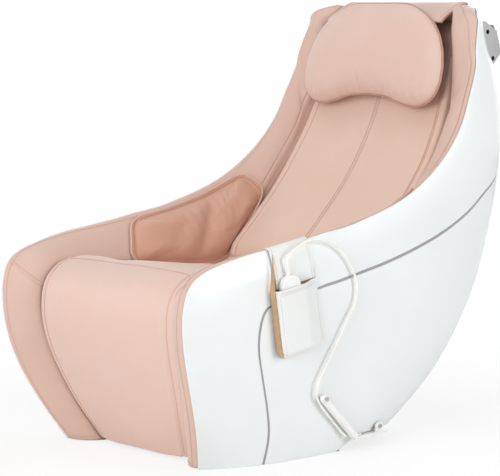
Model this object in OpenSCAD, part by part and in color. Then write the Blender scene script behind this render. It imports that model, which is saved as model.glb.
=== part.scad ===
// Compact massage chair: a moulded bucket shell with a padded seat, a curved back
// with a massage carriage on toothed rails behind it, twin calf wells under a
// flip-up cover, a flip-over head pillow and a corded handset in a hanging pocket.
// Millimetres. The sitter faces -Y, Z is up, and the floor is Z = 0.

/* [Shell] */
// Overall width of the shell at its belt
chair_w = 664; // [620:1:700]
// Height of the top of the shell
chair_h = 968; // [930:1:1010]
// Reach of the shell in front of the origin
nose_reach = 464; // [450:1:480]
// Reach of the shell behind the origin
rear_reach = 582; // [570:1:600]
// Height of the foremost point of the arm
nose_z = 345; // [335:1:355]
// Height of the arm at its front corner
arm_front_h = 430; // [422:1:438]
// Height of the middle of the arm
arm_h = 490; // [482:1:500]
// Thickness of the shell
wall = 4; // [3:0.5:5]
// How far each side draws in at the floor
foot_tuck = 43; // [30:1:50]
// How far each side draws in at the top
top_tuck = 10; // [4:1:16]
// How far the shell draws in at its front edges
cheek_tuck = 18; // [10:1:24]
// How far the rim of the shell rolls inwards
rim_roll = 10; // [0:1:14]
// Rise of the rear underside above the floor
heel_rise = 32; // [28:1:40]
// Width of the inlaid trim strip
trim_w = 6; // [4:0.5:8]
// Depth of the inlaid trim strip
trim_d = 3; // [2:0.5:3.5]

/* [Seat and back] */
// Width of the seat cushion
seat_w = 472; // [450:1:476]
// Height of the front edge of the seat cushion
seat_h = 412; // [405:1:416]
// Thickness of the seat cushion
seat_t = 64; // [50:1:70]
// Radius of the curved part of the back's front surface
back_r = 745; // [735:1:755]
// Thickness of the back pad
back_t = 30; // [26:1:32]
// Width of the back pad at the waist
back_w = 462; // [440:1:466]
// Width of the back pad at its top
back_top_w = 370; // [350:1:384]

/* [Pillow] */
// Width of the head pillow
pillow_w = 444; // [420:1:448]
// Nominal height of the head pillow along its face
pillow_l = 240; // [220:1:244]
// Thickness of the head pillow
pillow_t = 70; // [56:1:74]
// Width of the strap that carries the pillow
strap_w = 376; // [340:1:384]

/* [Calf cover] */
// Width of the calf cover at its widest
cover_w = 450; // [430:1:452]
// Width of the calf cover at its lower edge
cover_low_w = 300; // [280:1:302]
// Thickness of the calf cover
cover_t = 14; // [10:1:16]
// Gap between the calf cover and the floor
cover_lift = 6; // [4:1:15]
// Width of one calf well
well_w = 116; // [100:1:118]
// Depth of one calf well
well_d = 84; // [70:1:86]

/* [Handset] */
// Width of the handset
remote_w = 52; // [46:1:56]
// Length of the handset
remote_l = 150; // [130:1:156]
// Thickness of the handset
remote_t = 16; // [13:1:17]
// Width of the pocket
pocket_w = 118; // [110:1:124]
// Length of the pocket below its mouth
pocket_l = 148; // [138:1:156]
// Thickness of the pocket's leather
pocket_skin = 2; // [1.5:0.25:2.5]
// Diameter of the handset's cord
cord_d = 5; // [4.5:0.5:6]

/* [Skids and handle] */
// Diameter of the skids' tube legs
tube_d = 18; // [16:1:20]
// Height of the rear handle's bar
handle_bar_h = 54; // [44:1:60]
// Height of the handle where it meets the shell
handle_root_h = 106; // [96:1:112]
// Thickness of the handle's plate
handle_t = 4; // [3:0.5:5]
// Reach of the handle's bar behind its cheeks
handle_gap = 39; // [34:1:46]

/* [Mechanism] */
// Radius of the rails behind the back pad, measured to the tooth pitch line
rail_r = 846; // [842:1:850]
// Distance between the two rail plates
rail_gap = 330; // [300:1:340]
// Number of teeth on the pinion
pinion_teeth = 12; // [11:1:14]
// Tooth module of the rack and pinion
tooth_m = 3; // [3:0.5:3]
// Diameter of the massage rollers
roller_d = 52; // [46:1:54]
// Distance between the two kneading arms
arm_gap = 120; // [100:1:140]

/* [Hidden] */
eps = 0.01;
gap = 0.5;             // clearance between pieces that sit side by side
rim_gap = 0.8;         // clearance between the shell's rim and the liner
belt_z = 400;          // height of the widest part of the shell
plan_y = -80;          // where the sides start to round towards the rear
leather = [0.89, 0.74, 0.67];
leather_dark = [0.78, 0.58, 0.50];
white = [0.94, 0.95, 0.96];
grey = [0.62, 0.61, 0.63];
steel = [0.72, 0.72, 0.74];
dark = [0.2, 0.2, 0.22];
wood = [0.8, 0.65, 0.45];

// ---------- curves and surfaces ----------

function mix(a, b, f) = a + (b - a) * f;
function unit(v) = v / max(norm(v), eps * eps);
function knot(p, i) = p[max(0, min(len(p) - 1, i))];
function segment(t, x) = max([for (i = [0:len(t) - 2]) if (x >= t[i][0] || i == 0) i]);
function slope(t, i) = let(a = knot(t, i - 1), b = knot(t, i + 1)) (b[1] - a[1]) / (b[0] - a[0]);

// Smooth value at x through a table of [x, value] pairs
function smooth(t, x) =
    let(i = segment(t, x), h = t[i + 1][0] - t[i][0], u = max(0, min(1, (x - t[i][0]) / h)))
    t[i][1] * (1 - u) * (1 - u) * (1 + 2 * u) + t[i + 1][1] * u * u * (3 - 2 * u)
    + h * u * (1 - u) * (slope(t, i) * (1 - u) - slope(t, i + 1) * u);

// Smooth curve through a list of points, at s from 0 to the last index
function spline(p, s) =
    let(i = min(floor(s), len(p) - 2), u = s - i,
        a = knot(p, i - 1), b = p[i], c = p[i + 1], d = knot(p, i + 2))
    b + 0.5 * u * ((c - a) + u * ((2 * a - 5 * b + 4 * c - d) + u * (3 * (b - c) + d - a)));

function grid_normal(g, i, j) =
    let(r = len(g) - 1, c = len(g[0]) - 1)
    unit(cross(g[min(i + 1, r)][j] - g[max(i - 1, 0)][j], g[i][min(j + 1, c)] - g[i][max(j - 1, 0)]));
function offset_grid(g, d) =
    [for (i = [0:len(g) - 1]) [for (j = [0:len(g[0]) - 1]) g[i][j] + d * grid_normal(g, i, j)]];
function flip_grid(g) = [for (i = [0:len(g) - 1]) [for (j = [len(g[0]) - 1:-1:0]) g[i][j]]];
function mirror_x(p) = [-p[0], p[1], p[2]];

// Closed solid between two grids of points with the same rows and columns
module between(front, back) {
    rows = len(front);
    cols = len(front[0]);
    n = rows * cols;
    points = concat([for (r = front) each r], [for (r = back) each r]);
    skins = [for (i = [0:rows - 2], j = [0:cols - 2])
        let(a = i * cols + j, b = a + 1, c = a + cols, d = c + 1)
        each [[a, b, d], [a, d, c], [n + a, n + d, n + b], [n + a, n + c, n + d]]];
    sides = [for (i = [0:rows - 2])
        let(a = i * cols, c = a + cols, b = a + cols - 1, d = b + cols)
        each [[a, c, n + c], [a, n + c, n + a], [d, b, n + b], [d, n + b, n + d]]];
    ends = [for (j = [0:cols - 2])
        let(a = j, b = j + 1, c = (rows - 1) * cols + j, d = c + 1)
        each [[b, a, n + a], [b, n + a, n + b], [c, d, n + d], [c, n + d, n + c]]];
    polyhedron(points, concat(skins, sides, ends), convexity = 6);
}

// Closed solid through a list of rings of points, capped at both ends
module loft(rings) {
    n = len(rings[0]);
    m = len(rings);
    skins = [for (i = [0:m - 2], j = [0:n - 1])
        let(a = i * n + j, b = i * n + (j + 1) % n)
        each [[a, b, b + n], [a, b + n, a + n]]];
    caps = concat([for (j = [1:n - 2]) [0, j + 1, j]],
                  [for (j = [1:n - 2]) [(m - 1) * n, (m - 1) * n + j, (m - 1) * n + j + 1]]);
    polyhedron([for (r = rings) each r], concat(skins, caps), convexity = 4);
}

module rod(a, b, d) {
    v = b - a;
    translate(a)
        rotate([0, acos(v[2] / norm(v)), atan2(v[1], v[0])])
            cylinder(h = norm(v), d = d, $fn = 32);
}

module tube_path(p, d) {
    for (i = [0:len(p) - 2]) rod(p[i], p[i + 1], d);
    for (i = [1:len(p) - 2]) translate(p[i]) sphere(d = d, $fn = 32);
}

module rounded_box(size, r) {
    linear_extrude(size[2])
        translate([-size[0] / 2, -size[1] / 2]) {
            translate([r, 0]) square([size[0] - 2 * r, size[1]]);
            translate([0, r]) square([size[0], size[1] - 2 * r]);
            for (x = [r, size[0] - r], y = [r, size[1] - r]) translate([x, y]) circle(r, $fn = 32);
        }
}

// ---------- outer shell ----------

function over_arm(k) = arm_h + (chair_h - arm_h) * k;
function side_half(z) = z < belt_z
    ? chair_w / 2 - foot_tuck * pow((belt_z - z) / belt_z, 2.6)
    : chair_w / 2 - top_tuck * pow((z - belt_z) / (chair_h - belt_z), 1.5);
function squareness(z) = 5.5 - 2.5 * pow(max(0, 1 - z / arm_h), 1.5);
rear_profile = [[0, rear_reach - 357], [60, rear_reach - 276], [150, rear_reach - 185],
                [300, rear_reach - 94], [450, rear_reach - 40], [over_arm(0.23), rear_reach - 3],
                [over_arm(0.4), rear_reach], [over_arm(0.6), rear_reach - 6],
                [over_arm(0.72), rear_reach - 18], [over_arm(0.79), rear_reach - 36],
                [over_arm(0.87), rear_reach - 46], [chair_h, rear_reach - 54]];
front_profile = [[0, 113 - nose_reach], [0.25 * nose_z, 70 - nose_reach], [0.52 * nose_z, 30 - nose_reach],
                 [0.78 * nose_z, 5 - nose_reach], [nose_z, -nose_reach]];
function rear_y(z) = smooth(rear_profile, z);
function front_y(z) = smooth(front_profile, z);
function front_tuck(z) = cheek_tuck + 45 * pow(max(0, 1 - z / 250), 2);

// A place on the shell is [angle, height]: angle runs from -90 at the front edge
// through 0 where the side is straight to 90 at the middle of the rear
function on_shell(c) =
    let(a = c[0], z = c[1], n = squareness(z), w = side_half(z))
    a < 0
    ? [w - front_tuck(z) * pow(-a / 90, 3), plan_y + a / 90 * (plan_y - front_y(z)), z]
    : let(q = pow(pow(abs(cos(a)), n) + pow(sin(a), n), 1 / n))
      [w * cos(a) / q, plan_y + (rear_y(z) - plan_y) * sin(a) / q, z];
function angle_at(y, z) = y < plan_y
    ? -90 * (plan_y - y) / (plan_y - front_y(z))
    : let(n = squareness(z), q = (y - plan_y) / (rear_y(z) - plan_y)) atan2(q, pow(1 - pow(q, n), 1 / n));
function side_points(p) = [for (i = p) [angle_at(i[0], i[1]), i[1]]];

// The rim, in side view [y, z], from the floor up the front and back along the arm
rim_side = [for (p = front_profile) [p[1], p[0]]];
rim_arm = [[17 - nose_reach, nose_z + 55], [62 - nose_reach, arm_front_h],
           [167 - nose_reach, arm_front_h + 26],
           [285 - nose_reach, arm_h - 18], [399 - nose_reach, arm_h], [rear_reach - 522, over_arm(0.05)],
           [rear_reach - 404, over_arm(0.13)], [rear_reach - 307, over_arm(0.25)],
           [rear_reach - 230, over_arm(0.41)], [rear_reach - 182, over_arm(0.6)],
           [rear_reach - 152, over_arm(0.79)], [rear_reach - 130, over_arm(0.915)],
           [rear_reach - 118, over_arm(0.972)]];
seam_angle = 89.95;    // leaves a hairline seam between left and right at the rear
rim = concat(side_points(concat(rim_side, rim_arm)),
             [[54, chair_h - 1], [70, chair_h], [seam_angle, chair_h]]);

// The trim line, station by station opposite the rim
trim_side = [[-215, 0], [-217, arm_h * 0.13], [-233, arm_h * 0.26], [-254, arm_h * 0.4], [-269, arm_h * 0.54],
             [-257, arm_h - 160], [-222, arm_h - 139], [-155, arm_h - 127], [-78, arm_h - 112],
             [12, arm_h - 96], [106, arm_h - 77], [202, arm_h - 52], [292, arm_h - 22], [376, arm_h + 15],
             [447, arm_h + 56]];
trim = concat(side_points(trim_side),
              [[48, arm_h + 94], [54, arm_h + 114], [60, arm_h + 130], [67, arm_h + 142],
               [77, arm_h + 151], [seam_angle, arm_h + 155]]);
corner = 5;            // station at the bend of the trim line
last = len(rim) - 1;
low_steps = 8;
high_steps = 26;
stations = concat([for (i = [0:low_steps - 1]) i * corner / low_steps],
                  [for (i = [0:high_steps]) corner + i * (last - corner) / high_steps]);
band_rows = 6;

// Point on the upper zone, from the trim line (f = 0) to the rim (f = 1)
function band_length(s) = norm(on_shell(spline(rim, s)) - on_shell(spline(trim, s)));
function band_point(s, f) =
    let(c = mix(spline(trim, s), spline(rim, s), f), p = on_shell(c), k = rim_roll * pow(max(0, f), 4))
    p - [k, 0, 0] * min(1, max(0, (p[2] - nose_z) / 80)) * min(1, 3 * max(0, cos(c[0])))
      * (1 + 1.5 * max(0, 1 - (chair_h - p[2]) / 28));
function trim_edge(s, side) = (trim_w / 2 + side) / band_length(s);
function band_grid() = [for (s = stations) [for (j = [0:band_rows])
    band_point(s, mix(trim_edge(s, gap / 2), 1, j / band_rows))]];

module side_shell() {
    g = band_grid();
    color(white) difference() {
        between(g, offset_grid(g, -wall));
        handle_sweep(gap);
        for (p = handle_screws_at) handle_place() translate([handle_x - 40, p[0], p[1]]) rotate([0, 90, 0])
            cylinder(d = handle_screw_d + gap, h = 60, $fn = 32);
    }
}
module side_shell_right() side_shell();
module side_shell_left() mirror([1, 0, 0]) side_shell();

// Lower rear zone: a patch between the trim line and the lower edge
function heel_z(a) = heel_rise * pow(sin(90 * max(0, min(1, (a - 12) / 10.5))), 2);
base_lip = 2;          // gap between the shell's lower edge and the floor
function lower_edge(f) = let(a = mix(trim[0][0], 90, f)) [a, base_lip + heel_z(a)];
function trim_below(s) = mix(spline(trim, s), spline(rim, s), -trim_edge(s, gap / 2));
function patch(r, c) =
    let(u = c / high_steps, v = r / low_steps,
        left = trim_below(corner * v), right = [90, mix(base_lip + heel_rise, trim_below(last)[1], v)],
        top = trim_below(corner + (last - corner) * u), bottom = lower_edge(u),
        c00 = lower_edge(0), c10 = lower_edge(1), c01 = trim_below(corner), c11 = trim_below(last))
    mix(left, right, u) + mix(bottom, top, v)
    - mix(mix(c00, c10, u), mix(c01, c11, u), v);
function lower_grid() = [for (r = [0:low_steps])
    let(half = [for (c = [0:high_steps]) on_shell(patch(r, c))])
    concat(half, [for (c = [high_steps - 1:-1:0]) mirror_x(half[c])])];

module rear_shell() {
    g = flip_grid(lower_grid());
    color(white) difference() {
        between(g, offset_grid(g, -wall));
        for (m = [0, 1], p = bolts_at) mirror([m, 0, 0])
            translate([0, p[1], p[2]]) rotate([0, 90, 0]) cylinder(d = bolt_d + gap, h = chair_w, $fn = 24);
        translate(gland_at - [12, 0, 0]) rotate([0, 90, 0]) cylinder(d = gland_d + gap, h = 24, $fn = 24);
        inlet_place() translate([0, 0, -wall * 3]) linear_extrude(wall * 6)
            square([inlet_size[0] + gap, inlet_size[1] + gap], center = true);
    }
}

// Trim strip, set into the gap between the two zones
module trim_strip() {
    g = [for (s = stations) [for (e = [-1, 1])
        on_shell(mix(spline(trim, s), spline(rim, s), e * trim_edge(s, -gap / 2)))]];
    color(grey) for (m = [0, 1]) mirror([m, 0, 0]) between(g, offset_grid(g, -trim_d));
}

// ---------- liner: arm fronts, inner arms and wings ----------

// Inner edge of the liner, station by station opposite the rim
well_edge = cover_w / 2 + 8;
seat_edge = seat_w / 2 + 9;
back_edge = back_w / 2 + 5;
liner_edge = [[cover_low_w / 2 + 7, -304, base_lip], [well_edge - 40, -345, 85], [well_edge - 12, -381, 178],
              [well_edge - 2, -408, 268], [well_edge, -412, seat_h - 77], [well_edge, -390, seat_h - 34],
              [seat_edge - 6, -345, seat_h - 12], [seat_edge, -270, seat_h - 18],
              [seat_edge + 2, -165, seat_h - 26], [seat_edge + 3, -50, seat_h - 36],
              [seat_edge + 3, 50, seat_h - 42], [seat_edge, 140, seat_h - 27],
              [back_edge + 8, 220, 470], [back_edge + 6, 300, 562], [back_edge + 2, 362, 642],
              [back_edge - 2, 410, 730], [back_edge - 10, 436, 800], [back_edge - 20, 462, 865],
              [back_edge - 34, 488, 920], [back_edge - 40, 510, 956]];
liner_last = len(liner_edge) - 1;
liner_end = corner + 23 * (last - corner) / high_steps;    // where it passes under the strap's end
liner_stations = [for (s = stations) if (s <= liner_end + eps) s];
liner_rows = 6;
liner_t = 7;
liner_puff = 15;
wing_puff = 30;        // extra padding at the head of each wing
wing_dir = [-0.42, -0.74, 0.52];
wing_from = 15;        // rim station where the head of the wing starts

function rim_point(s) = band_point(s, 1);
function rim_side_dir(s) = unit(rim_point(s) - band_point(s, 0.9));
function rim_along(s) = unit(rim_point(min(s + 0.1, last)) - rim_point(max(s - 0.1, 0)));
function rim_out(s) = unit(cross(rim_along(s), rim_side_dir(s)));
function liner_start(s) = rim_point(s) - (wall + rim_gap) * rim_out(s);
function liner_normal(s) =
    let(k = min(s, wing_from + 1), n = unit(cross(rim_along(k), spline(liner_edge, k) - liner_start(k))))
    unit(mix(n, wing_dir, max(0, min(1, (s - wing_from) / 2))));
function swell(s) =
    (liner_puff + wing_puff * max(0, min(1, (s - wing_from) / 2))) * max(0, min(1, 2 * (liner_end - s)));
function liner_face(s, f, sink) =
    let(a = liner_start(s) - sink * rim_side_dir(s), b = spline(liner_edge, s))
    mix(a, b, f) + liner_normal(s) * ((swell(s) - sink) * pow(sin(180 * f), 0.55) - (f == 1 ? sink / 2 : 0));
function liner_grid(sink) = [for (s = liner_stations) [for (j = [0:liner_rows])
    liner_face(s, pow(j / liner_rows, 1.3), sink)]];

module arm_liner() color(leather)
    between(liner_grid(0), liner_grid(liner_t));
module arm_liner_right() arm_liner();
module arm_liner_left() mirror([1, 0, 0]) arm_liner();

// ---------- soft pieces ----------

// Inflating side panel on the inner face of each arm, laid over the liner
airbag_from = 8.25;    // rim stations at its two ends
airbag_to = 11.6;
airbag_puff = 20;
airbag_seat = 1.5;     // clearance over the liner
function airbag_point(u, v, h) =
    let(s = mix(airbag_from, airbag_to, (u + 1) / 2), f = mix(0.15, 0.93, (v + 1) / 2),
        n = unit(cross(rim_along(s), spline(liner_edge, s) - liner_start(s))))
    liner_face(s, f, 0) + h * n;
airbag_u = [-1, -0.94, -0.8, -0.55, -0.25, 0.05, 0.35, 0.62, 0.82, 0.94, 1];
airbag_v = [-1, -0.85, -0.5, -0.1, 0.3, 0.65, 0.88, 1];
function airbag_swell(u, v) = 5 + airbag_puff * pow((1 - pow(abs(u), 4)) * (1 - pow(abs(v), 4)), 0.6);
module side_airbag() {
    front = [for (u = airbag_u) [for (v = airbag_v) airbag_point(u, v, airbag_seat + airbag_swell(u, v))]];
    back = [for (u = airbag_u) [for (v = airbag_v) airbag_point(u, v, airbag_seat)]];
    color(leather_dark) between(front, back);
}
module side_airbag_right() side_airbag();
module side_airbag_left() mirror([1, 0, 0]) side_airbag();

// Seat cushion, crowned and drawn in at its edges
seat_front = 154 - nose_reach;
seat_rear = 132;
seat_line = [[seat_front, seat_h - 24], [seat_front + 16, seat_h - 9], [seat_front + 50, seat_h],
             [seat_front + 130, seat_h - 2], [seat_front + 280, seat_h - 22], [seat_rear - 14, seat_h - 44],
             [seat_rear, seat_h - 56]];
seat_u = [-1, -0.95, -0.8, -0.55, -0.28, 0, 0.28, 0.55, 0.8, 0.95, 1];
module seat_cushion() {
    rows = [for (i = [0:12]) mix(seat_front, seat_rear, (1 - cos(180 * i / 12)) / 2)];
    top = [for (y = rows) [for (u = seat_u)
        [u * seat_w / 2, y, smooth(seat_line, y) + 8 * (1 - u * u) - 14 * pow(abs(u), 8)]]];
    bottom = [for (y = rows) [for (u = seat_u) [u * seat_w / 2, y, seat_h - seat_t]]];
    color(leather) between(flip_grid(top), flip_grid(bottom));
}

// The back's front surface: an arc about [back_y, back_z], straight above it
back_y = -277;
back_z = 1035;
function arc_point(a, r) = [0, back_y + r * sin(a), back_z - r * cos(a)];
function back_knot(a, up) = arc_point(a, back_r) + up * [0, cos(66), sin(66)];
back_knots = [back_knot(36, -62), back_knot(36, -20), back_knot(41, 0), back_knot(48, 0), back_knot(55, 0),
              back_knot(62, 0), back_knot(68, 0), back_knot(68, 90), back_knot(68, 190)];
back_top = len(back_knots) - 1;
back_steps = 18;
function back_at(s) = spline(back_knots, s);
function back_normal(s) = let(t = unit(back_at(s + 0.02) - back_at(s - 0.02))) [0, -t[2], t[1]];
function back_half(s) = mix(back_w, back_top_w, pow(max(0, s / back_top - 0.45) / 0.55, 1.8)) / 2;
back_u = [-1, -0.97, -0.86, -0.6, -0.3, -0.07, 0, 0.07, 0.3, 0.6, 0.86, 0.97, 1];
function back_swell(u, s) =
    4 * pow(sin(180 * abs(u)), 2) - 9 * pow(abs(u), 10) - (u == 0 ? 4 : 0)
    - 8 * pow(max(0, 1 - s * 3), 2) - 8 * pow(max(0, (s - back_top) * 2 + 1), 2);
module back_pad() {
    at = [for (i = [0:back_steps]) min(back_top - 0.03, max(0.03, i * back_top / back_steps))];
    function sheet(h, k) = [for (s = at) [for (u = back_u)
        back_at(s) + [u * back_half(s), 0, 0] + back_normal(s) * (h + k * back_swell(u, s))]];
    color(leather) between(flip_grid(sheet(0, 1)), flip_grid(sheet(-back_t, 0)));
}

// Padded roll that closes the top between the wings, under the strap
strap_y = rear_reach - 72;
strap_z = chair_h + 4;
hem_r = 4;
module top_roll() color(leather) {
    w = back_top_w - 30;
    translate([-w / 2, 0, 0]) rotate([90, 0, 90]) linear_extrude(w) hull() {
        translate([strap_y - 10, chair_h - 18]) circle(12, $fn = 32);
        translate([strap_y - 4, chair_h - 27]) circle(10, $fn = 32);
    }
}

// Head pillow: a kidney outline, domed on both faces
pillow_at = [0, rear_reach - 184, over_arm(0.774)];
pillow_lean = 78;
pillow_half = 16;
pillow_shape = [[0, 0.97], [0.4, 0.95], [0.66, 0.76], [0.84, 0.48], [0.95, 0.12], [1, -0.3], [0.98, -0.68],
                [0.89, -0.92], [0.72, -1.03], [0.5, -0.98], [0.27, -0.86], [0, -0.82]];
function pillow_rim(i) =
    let(k = i <= pillow_half ? i : 2 * pillow_half - i,
        p = spline(pillow_shape, k * (len(pillow_shape) - 1) / pillow_half))
    [p[0] * (i <= pillow_half ? -1 : 1) * pillow_w / 2, p[1] * pillow_l / 2];
function pillow_ring(f, h) =
    [for (i = [0:2 * pillow_half - 1]) let(p = pillow_rim(i)) [p[0] * f, p[1] * f, h]];
function pillow_dome(f) = pow(max(0, 1 - pow(f, 2.8)), 0.5);
module head_pillow() {
    front = [for (f = [0.1, 0.3, 0.5, 0.7, 0.84, 0.93, 0.98])
        pillow_ring(f, 0.54 * pillow_t * pillow_dome(f))];
    rear = [for (f = [0.95, 0.8, 0.5, 0.15]) pillow_ring(f, -0.46 * pillow_t * pillow_dome(f))];
    rings = concat(front, [pillow_ring(1, 0)], rear);
    color(leather) translate(pillow_at) rotate([pillow_lean, 0, 0]) loft(rings);
}

// Strap that folds over the top of the back and carries the pillow
strap_t = 5;
module pillow_strap() color(leather) {
    line = [[strap_y, strap_z + hem_r], [strap_y - 8, strap_z + hem_r + 1], [strap_y - 28, strap_z - 2],
            [strap_y - 50, strap_z - 13], [strap_y - 72, strap_z - 25], [strap_y - 90, strap_z - 38]];
    under = [for (i = [len(line) - 1:-1:1]) line[i] + [2, -strap_t]];
    translate([-strap_w / 2, 0, 0]) rotate([90, 0, 90]) linear_extrude(strap_w) {
        polygon(concat(line, under, [[strap_y - 2, strap_z - 2]]));
        translate([strap_y, strap_z]) circle(hem_r, $fn = 32);
    }
}

// ---------- calf cover and wells ----------

function cover_half(z) = mix(cover_low_w, cover_w, 1 - pow(max(0, 1 - z / 300), 2)) / 2;
cover_line = [[147 - nose_reach, cover_lift], [105 - nose_reach, 85], [70 - nose_reach, 167],
              [47 - nose_reach, 234], [36 - nose_reach, 298], [41 - nose_reach, seat_h - 62],
              [58 - nose_reach, seat_h - 29], [88 - nose_reach, seat_h - 5], [118 - nose_reach, seat_h + 5],
              [142 - nose_reach, seat_h + 7]];
cover_end = len(cover_line) - 1;
cover_u = [-1, -0.97, -0.86, -0.6, -0.3, 0, 0.3, 0.6, 0.86, 0.97, 1];
cover_rows = 20;
cover_bow = 12;        // how far its middle stands out in front of its edges
hinge_d = 6;
hinge_y = 150 - nose_reach;
hinge_z = seat_h - 6;
function cover_normal(s) =
    let(t = unit(spline(cover_line, min(cover_end, s + 0.05)) - spline(cover_line, max(0, s - 0.05))))
    [0, -t[1], t[0]];
module calf_cover() {
    function sheet(h, bow) = [for (i = [0:cover_rows])
        let(s = i * cover_end / cover_rows, p = spline(cover_line, s))
        [for (u = cover_u)
            [u * cover_half(p[1]), p[0], p[1]] + cover_normal(s) * (h - bow * pow(abs(u), 5))]];
    color(leather) {
        between(flip_grid(sheet(0, cover_bow * 0.7)), flip_grid(sheet(-cover_t, cover_bow * 0.4)));
        translate([-cover_w / 2 + 8, hinge_y, hinge_z]) rotate([0, 90, 0])
            difference() {
                cylinder(d = hinge_d + 6, h = cover_w - 16, $fn = 32);
                translate([0, 0, -1]) cylinder(d = hinge_d + gap, h = cover_w, $fn = 32);
            }
    }
}
module cover_hinge_rod() color(steel)
    translate([-well_edge + 3, hinge_y, hinge_z]) rotate([0, 90, 0])
        cylinder(d = hinge_d, h = 2 * well_edge - 6, $fn = 32);

// Twin calf wells, open at the front
well_tilt = 16.5;
well_h = seat_h - 112;
well_rib = 16;
well_wall = 12;
module well_place() translate([0, 166 - nose_reach, 12]) rotate([well_tilt, 0, 0]) children();
module calf_well() {
    half = well_rib / 2 + well_w + well_wall;
    r = 40;
    color(leather_dark) well_place() linear_extrude(well_h) difference() {
        translate([-half, 0]) square([2 * half, well_d + well_wall]);
        for (m = [-1, 1]) translate([m * (well_rib + well_w) / 2, 0]) {
            translate([-well_w / 2, -1]) square([well_w, well_d - r + 1]);
            translate([-well_w / 2 + r, -1]) square([well_w - 2 * r, well_d + 1]);
            for (q = [-1, 1]) translate([q * (well_w / 2 - r), well_d - r]) circle(r, $fn = 48);
        }
    }
}
module calf_airbags() {
    t = 9;
    color(leather) well_place()
        for (m = [-1, 1], q = [0, 1])
            translate([m * (well_rib / 2 + q * well_w), 22, well_h / 2])
                rotate([0, m * (q ? -90 : 90), 0])
                    rounded_box([190, 36, t], 12);
}

// ---------- base, stand and handle ----------

pan_t = 6;
pan_gap = 2;
function pan_point(a, z) =
    let(p = on_shell([a, z]), d = wall + pan_gap)
    a < 0 ? p - [d, 0, 0] : p - d * [cos(a), sin(a), 0];
module pan_outline(z, from, to) {
    half = [for (a = [from:(to - from) / 14:to + eps]) let(p = pan_point(a, z)) [p[0], p[1]]];
    polygon(concat(half, [for (i = [len(half) - 1:-1:0]) [-half[i][0], half[i][1]]]));
}
pan_step_y = 10;
pad_d = 40;
pan_rise = base_lip + heel_rise;
pan_front = -301;       // just behind the arm fronts' lower ends
pad_places = [[205, pan_front + 26, pan_t + 2], [225, -30, pan_t + 2], [150, 185, pan_rise + pan_t]];
module base_pan() {
    foot_in = cover_low_w / 2 + 10;
    well_back = -190;
    color(dark) difference() {
        union() {
            linear_extrude(pan_t) intersection() {
                pan_outline(base_lip, -84, 90);
                translate([-chair_w, pan_front]) square([2 * chair_w, pan_step_y - pan_front]);
            }
            translate([0, 0, pan_rise]) linear_extrude(pan_t) intersection() {
                pan_outline(pan_rise, -84, 90);
                translate([-chair_w, pan_step_y - pan_t]) square([2 * chair_w, rear_reach]);
            }
            translate([-side_half(0) + 20, pan_step_y - pan_t, 0])
                cube([2 * side_half(0) - 40, pan_t, pan_rise + pan_t]);
        }
        translate([-foot_in, -nose_reach, -1]) cube([2 * foot_in, nose_reach + well_back, pan_t + 2]);
        for (m = [-1, 1], p = pad_places) translate([m * p[0], p[1], -1])
            cylinder(d = pad_d + gap, h = p[2] + 2, $fn = 48);
    }
}
module floor_pads() color(dark)
    for (m = [-1, 1], p = pad_places) translate([m * p[0], p[1], 0]) cylinder(d = pad_d, h = p[2], $fn = 48);

// Rear skids: on each side a tube leg welded to a flat foot, bolted to the shell
skid_w = 20;
skid_t = 6;
skid_z = base_lip + heel_rise - 2;
skid_end = 150;
skid_top = [side_half(133) + tube_d / 2 + 3, -84, 133];
skid_heel = [side_half(36) + tube_d / 2 + 3, 26, 36];
tab_at = [0, 117, skid_z + 12];
tab_x = side_half(40) - 3;
bolts_at = [skid_top, tab_at];
bolt_d = 7;
bolt_head_d = 10;
module rear_skids() color(white) for (m = [0, 1]) mirror([m, 0, 0]) difference() {
    union() {
        rod(skid_top, skid_heel, tube_d);
        translate(skid_top) sphere(d = tube_d, $fn = 32);
        translate(skid_heel) sphere(d = tube_d, $fn = 32);
        translate([0, 0, skid_z - skid_t]) linear_extrude(skid_t)
            polygon([[skid_heel[0] - tube_d / 2, 32], [skid_heel[0] + tube_d / 2 - 3, 22], [tab_x + 10, 70],
                     [tab_x + 4, 120], [tab_x - 6, skid_end], [tab_x - 6 - skid_w, skid_end],
                     [tab_x + 4 - skid_w, 120], [tab_x + 6 - skid_w, 78], [tab_x + 2, 68]]);
        translate([tab_x, 0, skid_z - 1]) rotate([90, 0, 90]) linear_extrude(3)
            polygon([[104, 0], [104, 16], [110, 21], [122, 21], [140, 0]]);
    }
    for (p = bolts_at) translate([tab_x - 30, p[1], p[2]]) rotate([0, 90, 0])
        cylinder(d = bolt_d + gap, h = 80, $fn = 24);
}
module skid_bolt(from, seat) {
    translate([from, 0, 0]) rotate([0, 90, 0]) cylinder(d = bolt_d, h = seat - from, $fn = 24);
    difference() {
        translate([seat, 0, 0]) rotate([0, 90, 0]) cylinder(d = bolt_head_d, h = 2.5, $fn = 32);
        translate([seat + 0.8, 0, 0]) rotate([0, 90, 0]) cylinder(d = 5, h = 4, $fn = 24);
    }
}
module skid_bolts() color(steel) for (m = [0, 1]) mirror([m, 0, 0]) {
    translate([0, skid_top[1], skid_top[2]]) skid_bolt(skid_top[0] - 26, skid_top[0] + tube_d / 2);
    translate([0, tab_at[1], tab_at[2]]) skid_bolt(tab_x - 16, tab_x + 3);
}

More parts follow.
